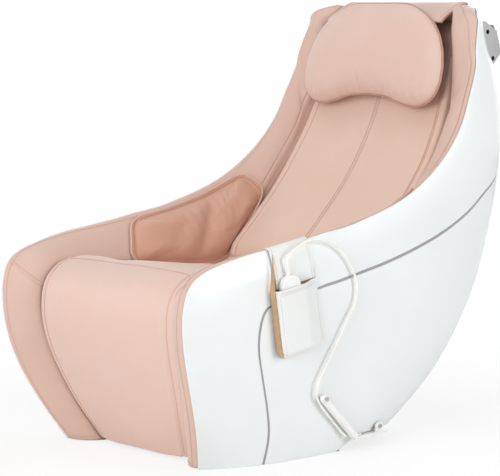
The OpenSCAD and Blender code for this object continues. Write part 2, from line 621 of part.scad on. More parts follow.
// Rear carry handle: one bent plate, flared where its cheeks enter the shell
handle_at = [0, rear_reach - 44, over_arm(0.83)];
handle_lean = 18;
handle_x = 262;
handle_bend = 38;
handle_in = 78;
handle_off = 8;        // how far the roots sit above the bar's middle line
module handle_place() translate(handle_at) rotate([handle_lean, 0, 0]) children();
module handle_side(grow) {
    bar = handle_bar_h / 2 + grow;
    high = handle_off + handle_root_h / 2 + grow;
    low = handle_off - handle_root_h / 2 - grow;
    translate([-chair_w, 0, 0]) rotate([90, 0, 90]) linear_extrude(2 * chair_w)
        polygon([[-handle_in - grow, low], [-34, low], [0, -bar], [handle_gap + 9, -bar],
                 [handle_gap + 9, bar], [0, bar], [-32, high], [-handle_in - grow, high]]);
}
module handle_sweep(grow) {
    x = handle_x + grow;
    w = handle_x - handle_t - grow;
    y = handle_gap + handle_t + grow;
    in = handle_in + grow;
    outer = [[x, -in], [x, 2], [x - handle_bend, y]];
    inner = [[w - handle_bend, y - handle_t - 2 * grow], [w, 1], [w, -in]];
    handle_place() intersection() {
        translate([0, 0, -handle_root_h]) linear_extrude(2 * handle_root_h)
            polygon(concat(outer, [for (i = [2:-1:0]) [-outer[i][0], outer[i][1]]],
                           [for (i = [2:-1:0]) [-inner[i][0], inner[i][1]]], inner));
        handle_side(grow);
    }
}
handle_screw_d = 11;
handle_screws_at = [[-29, 33], [-30, -31]];
module rear_handle() color(steel) difference() {
    handle_sweep(0);
    for (m = [0, 1], p = handle_screws_at) mirror([m, 0, 0]) handle_place()
        translate([handle_x - 2 * handle_t, p[0], p[1]]) rotate([0, 90, 0])
            cylinder(d = handle_screw_d + gap, h = 3 * handle_t, $fn = 32);
}
module handle_screws() color(dark)
    for (m = [0, 1], p = handle_screws_at) mirror([m, 0, 0]) handle_place()
        translate([handle_x - 34, p[0], p[1]]) rotate([0, 90, 0]) difference() {
            cylinder(d = handle_screw_d, h = 33, $fn = 32);
            translate([0, 0, 30]) cylinder(d = 6, h = 4, $fn = 24);
        }

// ---------- handset, pocket and cord ----------

pocket_tilt = 9;
pocket_at = [chair_w / 2 + 2, -187, arm_h - 19];
pocket_mouth = -84;
remote_y = -25;
remote_top = -58;
module pocket_place() translate(pocket_at) rotate([pocket_tilt, 0, 0]) children();
// Draws an outline given in width and height as a sheet facing sideways
module facing_side(x, t) translate([x, 0, 0]) rotate([90, 0, 90]) linear_extrude(t) children();
module pocket_front_shape() {
    r = 22;
    h = pocket_l;
    hull() {
        translate([-pocket_w / 2, pocket_mouth - 1]) square([pocket_w, 1]);
        for (m = [-1, 1]) translate([m * (pocket_w / 2 - r), pocket_mouth - h + r]) circle(r, $fn = 48);
    }
}
pocket_deep = remote_t + 2.5 + 2 * pocket_skin;
module remote_pocket() {
    w = pocket_w / 2;
    k = pocket_skin;
    d = pocket_deep;
    color(white) pocket_place() {
        difference() {
            intersection() {
                translate([0, 0, pocket_mouth - pocket_l]) linear_extrude(pocket_l)
                    polygon([[1, -w], [d - 6, -w], [d - 2, -w + 2], [d, -w + 7],
                             [d, remote_y + remote_w / 2 + 6], [8, w - 3], [5, w], [1, w]]);
                facing_side(0, 2 * d) pocket_front_shape();
            }
            translate([0, 0, remote_top - remote_l - gap]) linear_extrude(pocket_l)
                polygon([[1 + k, k - w], [d - 6 - k / 2, k - w], [d - k - 2, -w + 2 + k], [d - k, -w + 7],
                         [d - k, remote_y + remote_w / 2 + 5], [8 - k, w - 3 - k], [1 + k, w - 2 * k]]);
        }
        translate([0, w - 5, 0]) rotate([90, 0, 0]) linear_extrude(pocket_w - 10)
            polygon([[-17, 3.5], [-10, 3.5], [-6.5, 1], [-3, -14], [-0.2, -34], [1.8, -60],
                     [1 + k, pocket_mouth], [1, pocket_mouth], [0.8, -60], [-2, -34], [-5, -14], [-8, 0],
                     [-10, 1.5], [-17, 1.5]]);
    }
}
module pocket_lining() color([0.72, 0.53, 0.36]) pocket_place()
    facing_side(0, 0.8) {
        pocket_front_shape();
        translate([5 - pocket_w / 2, pocket_mouth - 1]) square([pocket_w - 10, 25]);
    }

remote_x = 1 + pocket_skin + 0.3;
key_rise = 0.9;
key_travel = 0.8;
keys = [[0, -34, 13], [-13, -60, 10], [13, -60, 10], [0, -80, 11], [0, -98, 11]];
module key_hole(i, grow, h)
    translate([remote_x + remote_t - h, remote_y + keys[i][0], remote_top + keys[i][1]])
        rotate([0, 90, 0]) cylinder(d = keys[i][2] + grow, h = h + 1, $fn = 32);
module remote_body() {
    top_r = remote_w / 2 - 3;
    low_r = 12;
    color(white) pocket_place() difference() {
        facing_side(remote_x, remote_t) translate([remote_y, remote_top]) hull() {
            for (m = [-1, 1]) {
                translate([m * (remote_w / 2 - top_r), -top_r]) circle(top_r, $fn = 64);
                translate([m * (remote_w / 2 - low_r), low_r - remote_l]) circle(low_r, $fn = 48);
            }
        }
        for (i = [0:len(keys) - 1]) key_hole(i, 0.6, 4);
    }
}
module key(i) pocket_place()
    translate([remote_x + remote_t - 4 + key_travel + 0.2, remote_y + keys[i][0], remote_top + keys[i][1]])
        rotate([0, 90, 0]) cylinder(d = keys[i][2], h = 4 - key_travel - 0.2 + key_rise, $fn = 32);
module key_power() color([0.8, 0.35, 0.3]) key(0);
module key_mode() color(grey) key(1);
module key_speed() color(grey) key(2);
module key_up() color(grey) key(3);
module key_down() color(grey) key(4);
boot_l = 16;
boot_x = remote_x + remote_t / 2;
module cord_boot() color([0.86, 0.84, 0.76]) pocket_place() translate([boot_x, remote_y, remote_top]) {
    cylinder(d1 = 9.5, d2 = cord_d + 2, h = boot_l, $fn = 32);
    for (i = [0:4]) translate([0, 0, 2 + i * 3]) cylinder(d = 9.5 - i * 0.4, h = 1.4, $fn = 32);
}

// Cord from the handset's boot to the gland low on the shell
gland_d = 8;
gland_at = [side_half(36) + 0.6, 4, 36];
boot_end = pocket_at + [boot_x, remote_y * cos(pocket_tilt) - (remote_top + boot_l) * sin(pocket_tilt),
                        remote_y * sin(pocket_tilt) + (remote_top + boot_l) * cos(pocket_tilt)];
cord_route = [boot_end + [0, 0, 0.3], boot_end + [0, -1.6, 10], [346, -206, 448], [346, -186, 463],
              [345, -158, 475], [344, -134, 480], [343, -106, 479], [342, -78, 471], [341, -50, 454],
              [340, -28, 431], [340, -8, 402], [340, 2, 377], [340, 2, 352], [340, -6, 327],
              [340, -28, 297], [339, -56, 252], [337, -78, 218], [334, -98, 183], [331, -105, 160],
              [328, -104, 140], [324, -88, 118], [317, -56, 88], [311, -24, 60], [309, -8, 45],
              gland_at + [10, -0.6, 1], gland_at + [5.3, 0, 0]];
cord_sides = 10;
function cord_ring(p, t) =
    let(n = unit(cross(t, [0, 0.28, 0.96])), b = cross(t, n))
    [for (i = [0:cord_sides - 1]) let(a = i * 360 / cord_sides) p + cord_d / 2 * (cos(a) * n - sin(a) * b)];
module remote_cord() {
    steps = 2;
    n = (len(cord_route) - 1) * steps;
    points = [for (i = [0:n]) spline(cord_route, i / steps)];
    color([0.9, 0.88, 0.8]) loft([for (i = [0:n])
        cord_ring(points[i], unit(points[min(i + 1, n)] - points[max(i - 1, 0)]))]);
}
module cord_gland() color([0.86, 0.84, 0.76]) translate(gland_at) rotate([0, 90, 0]) {
    translate([0, 0, -7]) cylinder(d = gland_d, h = 8, $fn = 32);
    translate([0, 0, 0.6]) cylinder(d = gland_d + 3, h = 1.6, $fn = 32);
    cylinder(d1 = gland_d, d2 = cord_d + 1.4, h = 5, $fn = 32);
}

// Mains inlet and its rocker switch, low at the rear
inlet_size = [78, 36];
inlet_z = 120;
inlet_lean = atan((rear_y(inlet_z + 20) - rear_y(inlet_z - 20)) / 40);
module inlet_place() translate([0, rear_y(inlet_z), inlet_z]) rotate([-90 - inlet_lean, 0, 0]) children();
module power_inlet() color(dark) inlet_place() difference() {
    union() {
        translate([0, 0, -18]) linear_extrude(18.5) square(inlet_size, center = true);
        linear_extrude(3) square([inlet_size[0] + 8, inlet_size[1] + 8], center = true);
    }
    translate([-16, 0, -14]) rounded_box([30, 24, 20], 4);
    translate([24, 0, -12]) linear_extrude(20) square([22, 30], center = true);
}
module power_switch() color([0.1, 0.1, 0.12]) inlet_place() translate([24, 0, 0]) rotate([0, 90, 0])
    translate([0, 0, -10]) linear_extrude(20)
        polygon([[8, -12.5], [-2, -12.5], [-0.5, 0], [-5, 12.5], [8, 12.5]]);

// ---------- frame ----------

beam = 25;
tube_wall = 2;
frame_x = 190;
frame_low = pan_rise + pan_t + gap;
board_t = 14;
board_z = seat_h - seat_t - board_t - gap;
post_y = [-190, 70];
rail_foot_y = 178;
// Welded square tubes; cut makes the same bars thinner, for the hollow inside them
module frame_bars(cut) {
    w = beam - 2 * cut;
    post_x = rail_gap / 2 + rail_t + gap;
    for (m = [-1, 1]) {
        translate([m * frame_x - w / 2, post_y[0] - w / 2, frame_low + cut])
            cube([w, rail_foot_y - post_y[0] + w + 2 * cut, w]);
        for (y = post_y) {
            translate([m * frame_x - w / 2, y - w / 2, frame_low + cut])
                cube([w, w, board_z - frame_low]);
            if (y < pan_step_y) translate([m * frame_x - w / 2, y - w / 2, pan_t - cut])
                cube([w, w, frame_low]);
        }
        translate([m > 0 ? post_x + cut : -post_x - beam + cut, rail_foot_y - w / 2, frame_low + cut])
            cube([w, w, rail_foot[2] - frame_low + 10]);
    }
    for (y = concat(post_y, rail_foot_y)) translate([-frame_x, y - w / 2, frame_low + cut])
        cube([2 * frame_x, w, w]);
}
module base_frame() color(steel) difference() {
    frame_bars(0);
    frame_bars(tube_wall);
}
module seat_board() color(wood)
    translate([-seat_w / 2 + 6, seat_front + 12, board_z])
        cube([seat_w - 12, seat_rear - seat_front - 14, board_t]);
arm_frame_t = 12;
module arm_frame() color(wood)
    translate([seat_w / 2 + 20, 0, 0]) rotate([90, 0, 90]) linear_extrude(arm_frame_t)
        polygon([[-220, 84], [-20, 66], [20, 110], [50, 206], [60, seat_h - 56], [-40, seat_h - 34],
                 [-300, seat_h - 40], [-330, seat_h - 106], [-284, 160]]);
module arm_frame_right() arm_frame();
module arm_frame_left() mirror([1, 0, 0]) arm_frame();

// ---------- rails and massage carriage ----------

rail_t = 8;
rail_out = 16;         // depth of the rail behind its pitch line
rail_from = 32;        // the rail's two ends and the carriage's middle, degrees along the arc
rail_to = 73.5;
park = 54.5;
rack_teeth = round(2 * rail_r / tooth_m);
rack_r = rack_teeth * tooth_m / 2;
pinion_r = pinion_teeth * tooth_m / 2;
pinion_lag = 6.8;      // the pinion sits this many degrees below the carriage's middle
pressure = 20;
backlash = 0.2;
rail_foot = arc_point(rail_from, rack_r);

module at_arc(a, r) translate(arc_point(a, r)) rotate([a, 0, 0]) children();
function polar(r, a) = [r * cos(a), r * sin(a)];
function deg(mm, r) = mm / r * 180 / PI;

// Outline of a rail in its own plane: smooth behind, toothed towards the sitter
function rack_outline() =
    let(pitch = 360 / rack_teeth, mid = park - pinion_lag,
        low = ceil((rail_from + 1 - mid) / pitch), high = floor((rail_to - 1 - mid) / pitch) - 1,
        half = PI * tooth_m / 4 - backlash, tip = 0.65 * tooth_m, root = 1.25 * tooth_m)
    concat([for (i = [0:20]) polar(rack_r + rail_out, mix(rail_to, rail_from, i / 20))],
           [polar(rack_r + root, rail_from)],
           [for (k = [low:high]) let(c = mid + (k + 0.5) * pitch)
               each [polar(rack_r + root, c - deg(half + root * tan(pressure), rack_r)),
                     polar(rack_r - tip, c - deg(half - tip * tan(pressure), rack_r)),
                     polar(rack_r - tip, c + deg(half - tip * tan(pressure), rack_r)),
                     polar(rack_r + root, c + deg(half + root * tan(pressure), rack_r))]],
           [polar(rack_r + root, rail_to)]);
module arc_plane(x) translate([x, back_y, back_z]) rotate([0, 90, 0]) children();
module rail(m) color(steel) arc_plane(m > 0 ? rail_gap / 2 : -rail_gap / 2 - rail_t)
    linear_extrude(rail_t) polygon(rack_outline());
module rail_right() rail(1);
module rail_left() rail(-1);
module rail_ties() color(steel)
    for (a = [rail_from + 0.8, rail_to - 0.8])
        translate(arc_point(a, rack_r + 9) - [rail_gap / 2, 0, 0]) rotate([0, 90, 0])
            cylinder(d = 10, h = rail_gap, $fn = 32);

// Involute pinion
function inv(a) = tan(a) * 180 / PI - a;
function tooth_half(r) =
    let(base = pinion_r * cos(pressure))
    deg(PI * tooth_m / 4 - backlash, pinion_r) + inv(pressure) - (r > base ? inv(acos(base / r)) : 0);
module pinion(h) {
    base = pinion_r * cos(pressure);
    tip = pinion_r + 0.8 * tooth_m;
    root = pinion_r - 1.25 * tooth_m;
    flank = [root, base, mix(base, tip, 0.4), mix(base, tip, 0.75), tip];
    linear_extrude(h) polygon([for (k = [0:pinion_teeth - 1]) let(c = k * 360 / pinion_teeth)
        each concat([for (r = flank) polar(r, c - tooth_half(r))],
                    [for (i = [4:-1:0]) polar(flank[i], c + tooth_half(flank[i]))])]);
}
pinion_w = 7;
shaft_d = 10;
running = 0.05;
plate_x = rail_gap / 2 - 9;
plate_t = 3;
module at_pinion() at_arc(park - pinion_lag, rack_r - pinion_r) children();
module along_x(x, d, h) translate([x, 0, 0]) rotate([0, 90, 0]) cylinder(d = d, h = h, $fn = 48);
module pinion_shaft() color(steel) at_pinion() {
    along_x(-rail_gap / 2 - rail_t, shaft_d, rail_gap + 2 * rail_t);
    for (x = [rail_gap / 2 + 0.5, -rail_gap / 2 - 0.5 - pinion_w])
        translate([x, 0, 0]) rotate([0, 90, 0]) pinion(pinion_w);
}

knead_z = -6;
knead_d = 14;
hub_d = 34;
arm_t = 10;
roller_y = 59;
roller_z = 34;
roller_w = 26;
pin_d = 8;
module carriage_frame() color(dark) difference() {
    at_arc(park, rack_r) {
        for (m = [-1, 1]) translate([m * (plate_x + plate_t / 2) - plate_t / 2, 0, 0])
            rotate([90, 0, 90]) linear_extrude(plate_t)
                polygon([[-112, -30], [78, -30], [78, 4], [52, 30], [-14, 34], [-84, 38], [-108, 36],
                         [-112, 10]]);
        for (y = [-70, 70]) translate([0, y, -20]) along_x(-plate_x, 12, 2 * plate_x);
        for (y = [-64, 17]) translate([-plate_x, y, -33]) cube([2 * plate_x, 50, 3]);
    }
    at_pinion() along_x(-rail_gap, shaft_d + 2 * running, 2 * rail_gap);
    at_arc(park, rack_r) translate([0, 0, knead_z]) along_x(-rail_gap, knead_d + 2 * running, 2 * rail_gap);
}
module guide_shoes() color([0.9, 0.9, 0.85])
    for (m = [0, 1], da = [-4.2, 4.2]) mirror([m, 0, 0])
        at_arc(park + da, rack_r) translate([plate_x + plate_t, -9, -rail_out - 8.4])
            cube([rail_gap / 2 + rail_t - plate_x - plate_t - 1, 18, 8]);
module travel_motor() color([0.35, 0.35, 0.38]) at_arc(park, rack_r) {
    translate([0, -40, -13]) along_x(-40, 32, 84);
    translate([20, -58, -29.5]) cube([24, 36, 26]);
}
module knead_motor() color([0.35, 0.35, 0.38]) at_arc(park, rack_r) {
    translate([0, 40, -12]) along_x(-44, 34, 84);
    translate([-46, 14, -29.5]) cube([22, 44, 40]);
}
module knead_shaft() color(steel) at_arc(park, rack_r) translate([0, 0, knead_z]) {
    along_x(-plate_x - plate_t, knead_d, 2 * (plate_x + plate_t));
    for (m = [-1, 1]) along_x(m * arm_gap / 2 - 9, hub_d, 18);
}
module massage_arm(m) color(grey) at_arc(park, rack_r) translate([m * arm_gap / 2 - arm_t / 2, 0, 0])
    difference() {
        union() {
            rotate([90, 0, 90]) linear_extrude(arm_t) {
                translate([0, knead_z]) circle(d = hub_d + 14, $fn = 64);
                for (q = [-1, 1]) hull() {
                    translate([q * 12, knead_z + 8]) circle(12, $fn = 32);
                    translate([q * roller_y, roller_z]) circle(8, $fn = 32);
                }
            }
            for (q = [-1, 1]) translate([arm_t / 2, q * roller_y, roller_z])
                along_x(m > 0 ? 0 : -arm_t / 2 - roller_w - 4, pin_d, arm_t / 2 + roller_w + 4);
        }
        translate([0, 0, knead_z]) along_x(-1, hub_d + 2 * running, arm_t + 2);
    }
module massage_arm_right() massage_arm(1);
module massage_arm_left() massage_arm(-1);
module roller(m, q) color([0.3, 0.3, 0.32]) at_arc(park, rack_r)
    translate([m * (arm_gap / 2 + arm_t / 2 + 2 + roller_w / 2), q * roller_y, roller_z]) rotate([0, 90, 0])
        translate([0, 0, -roller_w / 2]) difference() {
            intersection() {
                cylinder(d = roller_d, h = roller_w, $fn = 64);
                translate([0, 0, roller_w / 2]) sphere(d = roller_d + 5, $fn = 64);
            }
            translate([0, 0, -1]) cylinder(d = pin_d + 2 * running, h = roller_w + 2, $fn = 32);
        }
module roller_right_upper() roller(1, 1);
module roller_right_lower() roller(1, -1);
module roller_left_upper() roller(-1, 1);
module roller_left_lower() roller(-1, -1);

// ---------- air system and electronics, on the frame under the seat ----------

shelf_z = frame_low + beam + gap;
module air_pump() color([0.3, 0.3, 0.32]) translate([-95, -60, shelf_z]) {
    translate([-55, -45, 0]) cube([110, 90, 8]);
    for (x = [-28, 28]) translate([x, 0, 8]) cylinder(d = 50, h = 62, $fn = 48);
    translate([-45, -16, 30]) cube([90, 32, 30]);
    for (x = [-28, 28]) translate([x, 0, 70]) cylinder(d = 8, h = 14, $fn = 24);
}
module air_valves() color([0.85, 0.85, 0.8]) translate([-95, 120, shelf_z]) {
    translate([-60, -18, 0]) cube([120, 36, 22]);
    for (i = [0:4]) translate([-48 + i * 24, 0, 22]) {
        cylinder(d = 18, h = 26, $fn = 32);
        cylinder(d = 7, h = 38, $fn = 24);
    }
}
module control_box() color([0.25, 0.45, 0.3]) translate([80, -90, shelf_z]) {
    difference() {
        translate([-75, -60, 0]) cube([150, 120, 38]);
        translate([-72, -57, 3]) cube([144, 114, 40]);
    }
    translate([-66, -50, 8]) cube([132, 100, 2]);
    for (x = [-40, 0, 40]) translate([x - 8, -20, 10]) cube([16, 30, 14]);
    translate([-72, -57, 3]) cube([10, 10, 7]);
}
module power_supply() color([0.7, 0.7, 0.72]) translate([90, 80, shelf_z]) {
    translate([-60, -45, 0]) cube([120, 90, 48]);
    for (i = [0:6]) translate([-54 + i * 17, -40, 48]) cube([6, 80, 2]);
}

side_shell_right();
side_shell_left();
rear_shell();
trim_strip();
arm_liner_right();
arm_liner_left();
side_airbag_right();
side_airbag_left();
seat_cushion();
back_pad();
top_roll();
head_pillow();
pillow_strap();
calf_cover();
cover_hinge_rod();
calf_well();
calf_airbags();
base_pan();
floor_pads();
rear_skids();
skid_bolts();
rear_handle();
handle_screws();
remote_pocket();
pocket_lining();
remote_body();
key_power();
key_mode();
key_speed();
key_up();
key_down();
cord_boot();
remote_cord();
cord_gland();
power_inlet();
power_switch();
base_frame();
seat_board();
arm_frame_right();
arm_frame_left();
rail_right();
rail_left();
rail_ties();
carriage_frame();
guide_shoes();
pinion_shaft();
travel_motor();
knead_shaft();
knead_motor();
massage_arm_right();
massage_arm_left();
roller_right_upper();
roller_right_lower();
roller_left_upper();
roller_left_lower();
air_pump();
air_valves();
control_box();
power_supply();
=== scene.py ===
"""Looks of the compact massage chair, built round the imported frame.

Surfaces are made in millimetres from the same profiles as the part's source, then
written in metres. Soft pieces are modelled as leather over foam, with piping and stitching.
"""

import functools
from math import atan2, cos, degrees, exp, floor, pi, radians, sin, sqrt

import bmesh
import bpy
import numpy as np
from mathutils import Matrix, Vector, noise
from numpy import linspace


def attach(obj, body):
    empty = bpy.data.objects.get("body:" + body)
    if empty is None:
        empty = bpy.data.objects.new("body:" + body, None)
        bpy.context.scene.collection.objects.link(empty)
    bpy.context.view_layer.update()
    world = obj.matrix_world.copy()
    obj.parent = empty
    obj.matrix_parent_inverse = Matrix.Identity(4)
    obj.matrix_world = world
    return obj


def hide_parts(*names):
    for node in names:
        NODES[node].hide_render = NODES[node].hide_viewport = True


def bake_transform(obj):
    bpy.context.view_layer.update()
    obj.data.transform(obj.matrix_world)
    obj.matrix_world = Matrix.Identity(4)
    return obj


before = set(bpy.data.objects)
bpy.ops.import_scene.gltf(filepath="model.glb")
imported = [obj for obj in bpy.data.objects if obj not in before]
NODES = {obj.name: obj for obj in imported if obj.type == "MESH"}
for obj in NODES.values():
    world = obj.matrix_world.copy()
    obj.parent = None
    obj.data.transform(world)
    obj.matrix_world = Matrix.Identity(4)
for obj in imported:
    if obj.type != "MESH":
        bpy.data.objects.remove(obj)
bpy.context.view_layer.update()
MM = 0.001

# ---- sizes, in millimetres
CHAIR_W, CHAIR_H = 664, 968
NOSE, REAR = 464, 582
NOSE_Z, ARM_FRONT, ARM = 345, 430, 490
WALL, FOOT_TUCK, TOP_TUCK, CHEEK, RIM_ROLL = 4, 43, 10, 18, 10
HEEL, BASE_LIP, TRIM_W, TRIM_D = 32, 2, 6, 3
SEAT_W, SEAT_H, SEAT_T = 472, 412, 64
BACK_R, BACK_T, BACK_W, BACK_TOP = 745, 30, 462, 370
PILLOW_W, PILLOW_L, PILLOW_T, STRAP_W = 444, 240, 70, 376
COVER_W, COVER_LOW, COVER_T, COVER_LIFT = 450, 300, 14, 6
WELL_W, WELL_D = 116, 84
REMOTE_W, REMOTE_L, REMOTE_T = 52, 150, 16
POCKET_W, POCKET_L, SKIN = 118, 148, 2
CORD_D = 5
BELT_Z, PLAN_Y = 400, -80
GAP = 0.5


# ---- curves
def mix(a, b, f):
    return a + (b - a) * f


def clamp(x, low=0.0, high=1.0):
    return max(low, min(high, x))


def unit(v):
    return v / max(np.linalg.norm(v), 1e-9)


def ease(x):
    x = clamp(x)
    return x * x * (3 - 2 * x)


def bump(x, width):
    return exp(-(x / width) ** 2)


def vec(*p):
    return np.array(p, float)


def spans(*parts):
    """Even steps over each (from, to, count), one after another."""
    return np.concatenate([linspace(*part) for part in parts])


def smooth(t, x):
    """Smooth value at x through a table of (x, value) pairs."""
    i = max([k for k in range(len(t) - 1) if x >= t[k][0]] or [0])

    def slope(k):
        a, b = t[max(0, k - 1)], t[min(len(t) - 1, k + 1)]
        return (b[1] - a[1]) / (b[0] - a[0])
    h = t[i + 1][0] - t[i][0]
    u = clamp((x - t[i][0]) / h)
    return (t[i][1] * (1 - u) ** 2 * (1 + 2 * u) + t[i + 1][1] * u * u * (3 - 2 * u)
            + h * u * (1 - u) * (slope(i) * (1 - u) - slope(i + 1) * u))


def spline(p, s):
    """Smooth curve through the points p, at s from 0 to the last index."""
    i = max(0, min(int(floor(s)), len(p) - 2))
    u = s - i
    a, b, c, d = (np.asarray(p[max(0, min(len(p) - 1, k))], float) for k in (i - 1, i, i + 1, i + 2))
    return b + 0.5 * u * ((c - a) + u * ((2 * a - 5 * b + 4 * c - d) + u * (3 * (b - c) + d - a)))


def line_at(line, s):
    """Place on a smooth line in a plane, and the normal there."""
    a, b = (spline(line, clamp(s + d, 0, len(line) - 1)) for d in (-0.05, 0.05))
    t = unit(b - a)
    return spline(line, s), vec(t[1], -t[0])


def fold(p, scale, seed=0.0):
    """Soft noise between about -1 and 1 at a point."""
    return noise.noise(Vector(tuple(np.asarray(p) * scale)) + Vector((seed, seed * 1.7, -seed)))


def turned(data, degrees, at):
    """Millimetre points and faces, turned about the X direction and moved to at."""
    p, faces = np.asarray(data[0], float), data[1]
    c, s = cos(radians(degrees)), sin(radians(degrees))
    x, y, z = p[..., 0], p[..., 1], p[..., 2]
    return np.stack([x, y * c - z * s, y * s + z * c], -1) + at, faces


# ---- the outer shell
def over_arm(k):
    """Height a share of the way from the arm to the top."""
    return ARM + (CHAIR_H - ARM) * k


def side_half(z):
    """Half the shell's width at a height."""
    if z < BELT_Z:
        return CHAIR_W / 2 - FOOT_TUCK * ((BELT_Z - z) / BELT_Z) ** 2.6
    return CHAIR_W / 2 - TOP_TUCK * ((z - BELT_Z) / (CHAIR_H - BELT_Z)) ** 1.5


def squareness(z):
    """Power of the superellipse that the shell's rear half follows in plan."""
    return 5.5 - 2.5 * max(0, 1 - z / ARM) ** 1.5


REAR_PROFILE = [(z, REAR - inset) for z, inset in (
    (0, 357), (60, 276), (150, 185), (300, 94), (450, 40), (over_arm(0.23), 3), (over_arm(0.4), 0),
    (over_arm(0.6), 6), (over_arm(0.72), 18), (over_arm(0.79), 36), (over_arm(0.87), 46), (CHAIR_H, 54))]
FRONT_PROFILE = [(k * NOSE_Z, y - NOSE) for k, y in ((0, 113), (0.25, 70), (0.52, 30), (0.78, 5), (1, 0))]


def rear_y(z):
    return smooth(REAR_PROFILE, z)


def front_y(z):
    return smooth(FRONT_PROFILE, z)


def on_shell(a, z):
    """Point of the shell at an angle (-90 at the front edge, 90 at the middle of the rear) and a height."""
    w = side_half(z)
    if a < 0:
        tuck = CHEEK + 45 * max(0, 1 - z / 250) ** 2
        return vec(w - tuck * (-a / 90) ** 3, PLAN_Y + a / 90 * (PLAN_Y - front_y(z)), z)
    n = squareness(z)
    c, s = abs(cos(radians(a))), sin(radians(a))
    q = (c ** n + s ** n) ** (1 / n)
    return vec(w * cos(radians(a)) / q, PLAN_Y + (rear_y(z) - PLAN_Y) * s / q, z)


def angle_at(y, z):
    if y < PLAN_Y:
        return -90 * (PLAN_Y - y) / (PLAN_Y - front_y(z))
    n = squareness(z)
    q = (y - PLAN_Y) / (rear_y(z) - PLAN_Y)
    return degrees(atan2(q, (1 - q ** n) ** (1 / n)))


def side_points(p):
    return [(angle_at(y, z), z) for y, z in p]


# The rim and the trim line: angle round the shell and height at each station.
RIM = side_points([(y, z) for z, y in FRONT_PROFILE] + [
    (17 - NOSE, NOSE_Z + 55), (62 - NOSE, ARM_FRONT), (167 - NOSE, ARM_FRONT + 26), (285 - NOSE, ARM - 18),
    (399 - NOSE, ARM)] + [(REAR - inset, over_arm(k)) for inset, k in (
        (522, 0.05), (404, 0.13), (307, 0.25), (230, 0.41), (182, 0.6), (152, 0.79), (130, 0.915),
        (118, 0.972))]) + [(54, CHAIR_H - 1), (70, CHAIR_H), (89.95, CHAIR_H)]
TRIM = side_points([(y, ARM * k) for y, k in (
    (-215, 0), (-217, 0.13), (-233, 0.26), (-254, 0.4), (-269, 0.54))] + [
        (y, ARM + up) for y, up in ((-257, -160), (-222, -139), (-155, -127), (-78, -112), (12, -96),
                                    (106, -77), (202, -52), (292, -22), (376, 15), (447, 56))])
TRIM += [(a, ARM + up) for a, up in ((48, 94), (54, 114), (60, 130), (67, 142), (77, 151), (89.95, 155))]
CORNER, LAST = 5, len(RIM) - 1


def band_length(s):
    return np.linalg.norm(on_shell(*spline(RIM, s)) - on_shell(*spline(TRIM, s)))


def band_point(s, f):
    """Point of the upper zone, from the trim line (f = 0) to the rim (f = 1)."""
    a, z = mix(spline(TRIM, s), spline(RIM, s), f)
    p = on_shell(a, z)
    k = RIM_ROLL * max(0, f) ** 4 * clamp((z - NOSE_Z) / 80) * min(1, 3 * max(0, cos(radians(a))))
    return p - vec(k * (1 + 1.5 * max(0, 1 - (CHAIR_H - z) / 28)), 0, 0)


def trim_edge(s, side):
    return (TRIM_W / 2 + side) / band_length(s)


def heel_z(a):
    return HEEL * sin(radians(90 * clamp((a - 12) / 10.5))) ** 2


def lower_edge(f):
    a = mix(TRIM[0][0], 90, f)
    return vec(a, BASE_LIP + heel_z(a))


def trim_below(s):
    return mix(spline(TRIM, s), spline(RIM, s), -trim_edge(s, GAP / 2))


def patch(u, v):
    """Place on the lower rear zone: u along the trim line, v up from the lower edge."""
    left = trim_below(CORNER * v)
    right = vec(90, mix(BASE_LIP + HEEL, trim_below(LAST)[1], v))
    top, bottom = trim_below(CORNER + (LAST - CORNER) * u), lower_edge(u)
    c00, c10, c01, c11 = lower_edge(0), lower_edge(1), trim_below(CORNER), trim_below(LAST)
    return mix(left, right, u) + mix(bottom, top, v) - mix(mix(c00, c10, u), mix(c01, c11, u), v)


# ---- meshes
def grid_normals(g):
    du, dv = np.gradient(g, axis=0), np.gradient(g, axis=1)
    n = np.cross(du, dv)
    return n / np.maximum(np.linalg.norm(n, axis=2, keepdims=True), 1e-9)


def grid_quads(rows, cols, start=0, flip=False, wrap=False):
    faces = []
    for i in range(rows - 1):
        for j in range(cols if wrap else cols - 1):
            k = (j + 1) % cols
            a = start + i * cols
            q = [a + j, a + k, a + cols + k, a + cols + j]
            faces.append(q[::-1] if flip else q)
    return faces


def grid(place, rows, cols):
    return np.array([[place(row, col) for col in cols] for row in rows])


def between(front, back):
    """Closed solid between two grids with the same rows and columns."""
    rows, cols = front.shape[:2]
    n = rows * cols
    faces = grid_quads(rows, cols) + grid_quads(rows, cols, n, True)
    edge = ([(i, 0) for i in range(rows)] + [(rows - 1, j) for j in range(1, cols)]
            + [(i, cols - 1) for i in range(rows - 2, -1, -1)] + [(0, j) for j in range(cols - 2, 0, -1)])
    ids = [i * cols + j for i, j in edge]
    for a, b in zip(ids, ids[1:] + ids[:1]):
        faces.append([a, n + a, n + b, b][::-1])
    return np.concatenate([front.reshape(-1, 3), back.reshape(-1, 3)]), faces


def sheet(front, back):
    """As between, for grids whose columns run the other way."""
    return between(front[:, ::-1], back[:, ::-1])


def loft(rings, closed_ends=True):
    """Surface through rings of points; the ends are closed by fans."""
    g = np.array(rings, float)
    m, n = g.shape[:2]
    verts, faces = g.reshape(-1, 3), grid_quads(m, n, 0, False, True)
    if closed_ends:
        verts = np.concatenate([verts, [g[0].mean(0), g[-1].mean(0)]])
        faces += [[m * n, (j + 1) % n, j] for j in range(n)]
        faces += [[m * n + 1, (m - 1) * n + j, (m - 1) * n + (j + 1) % n] for j in range(n)]
    return verts, faces


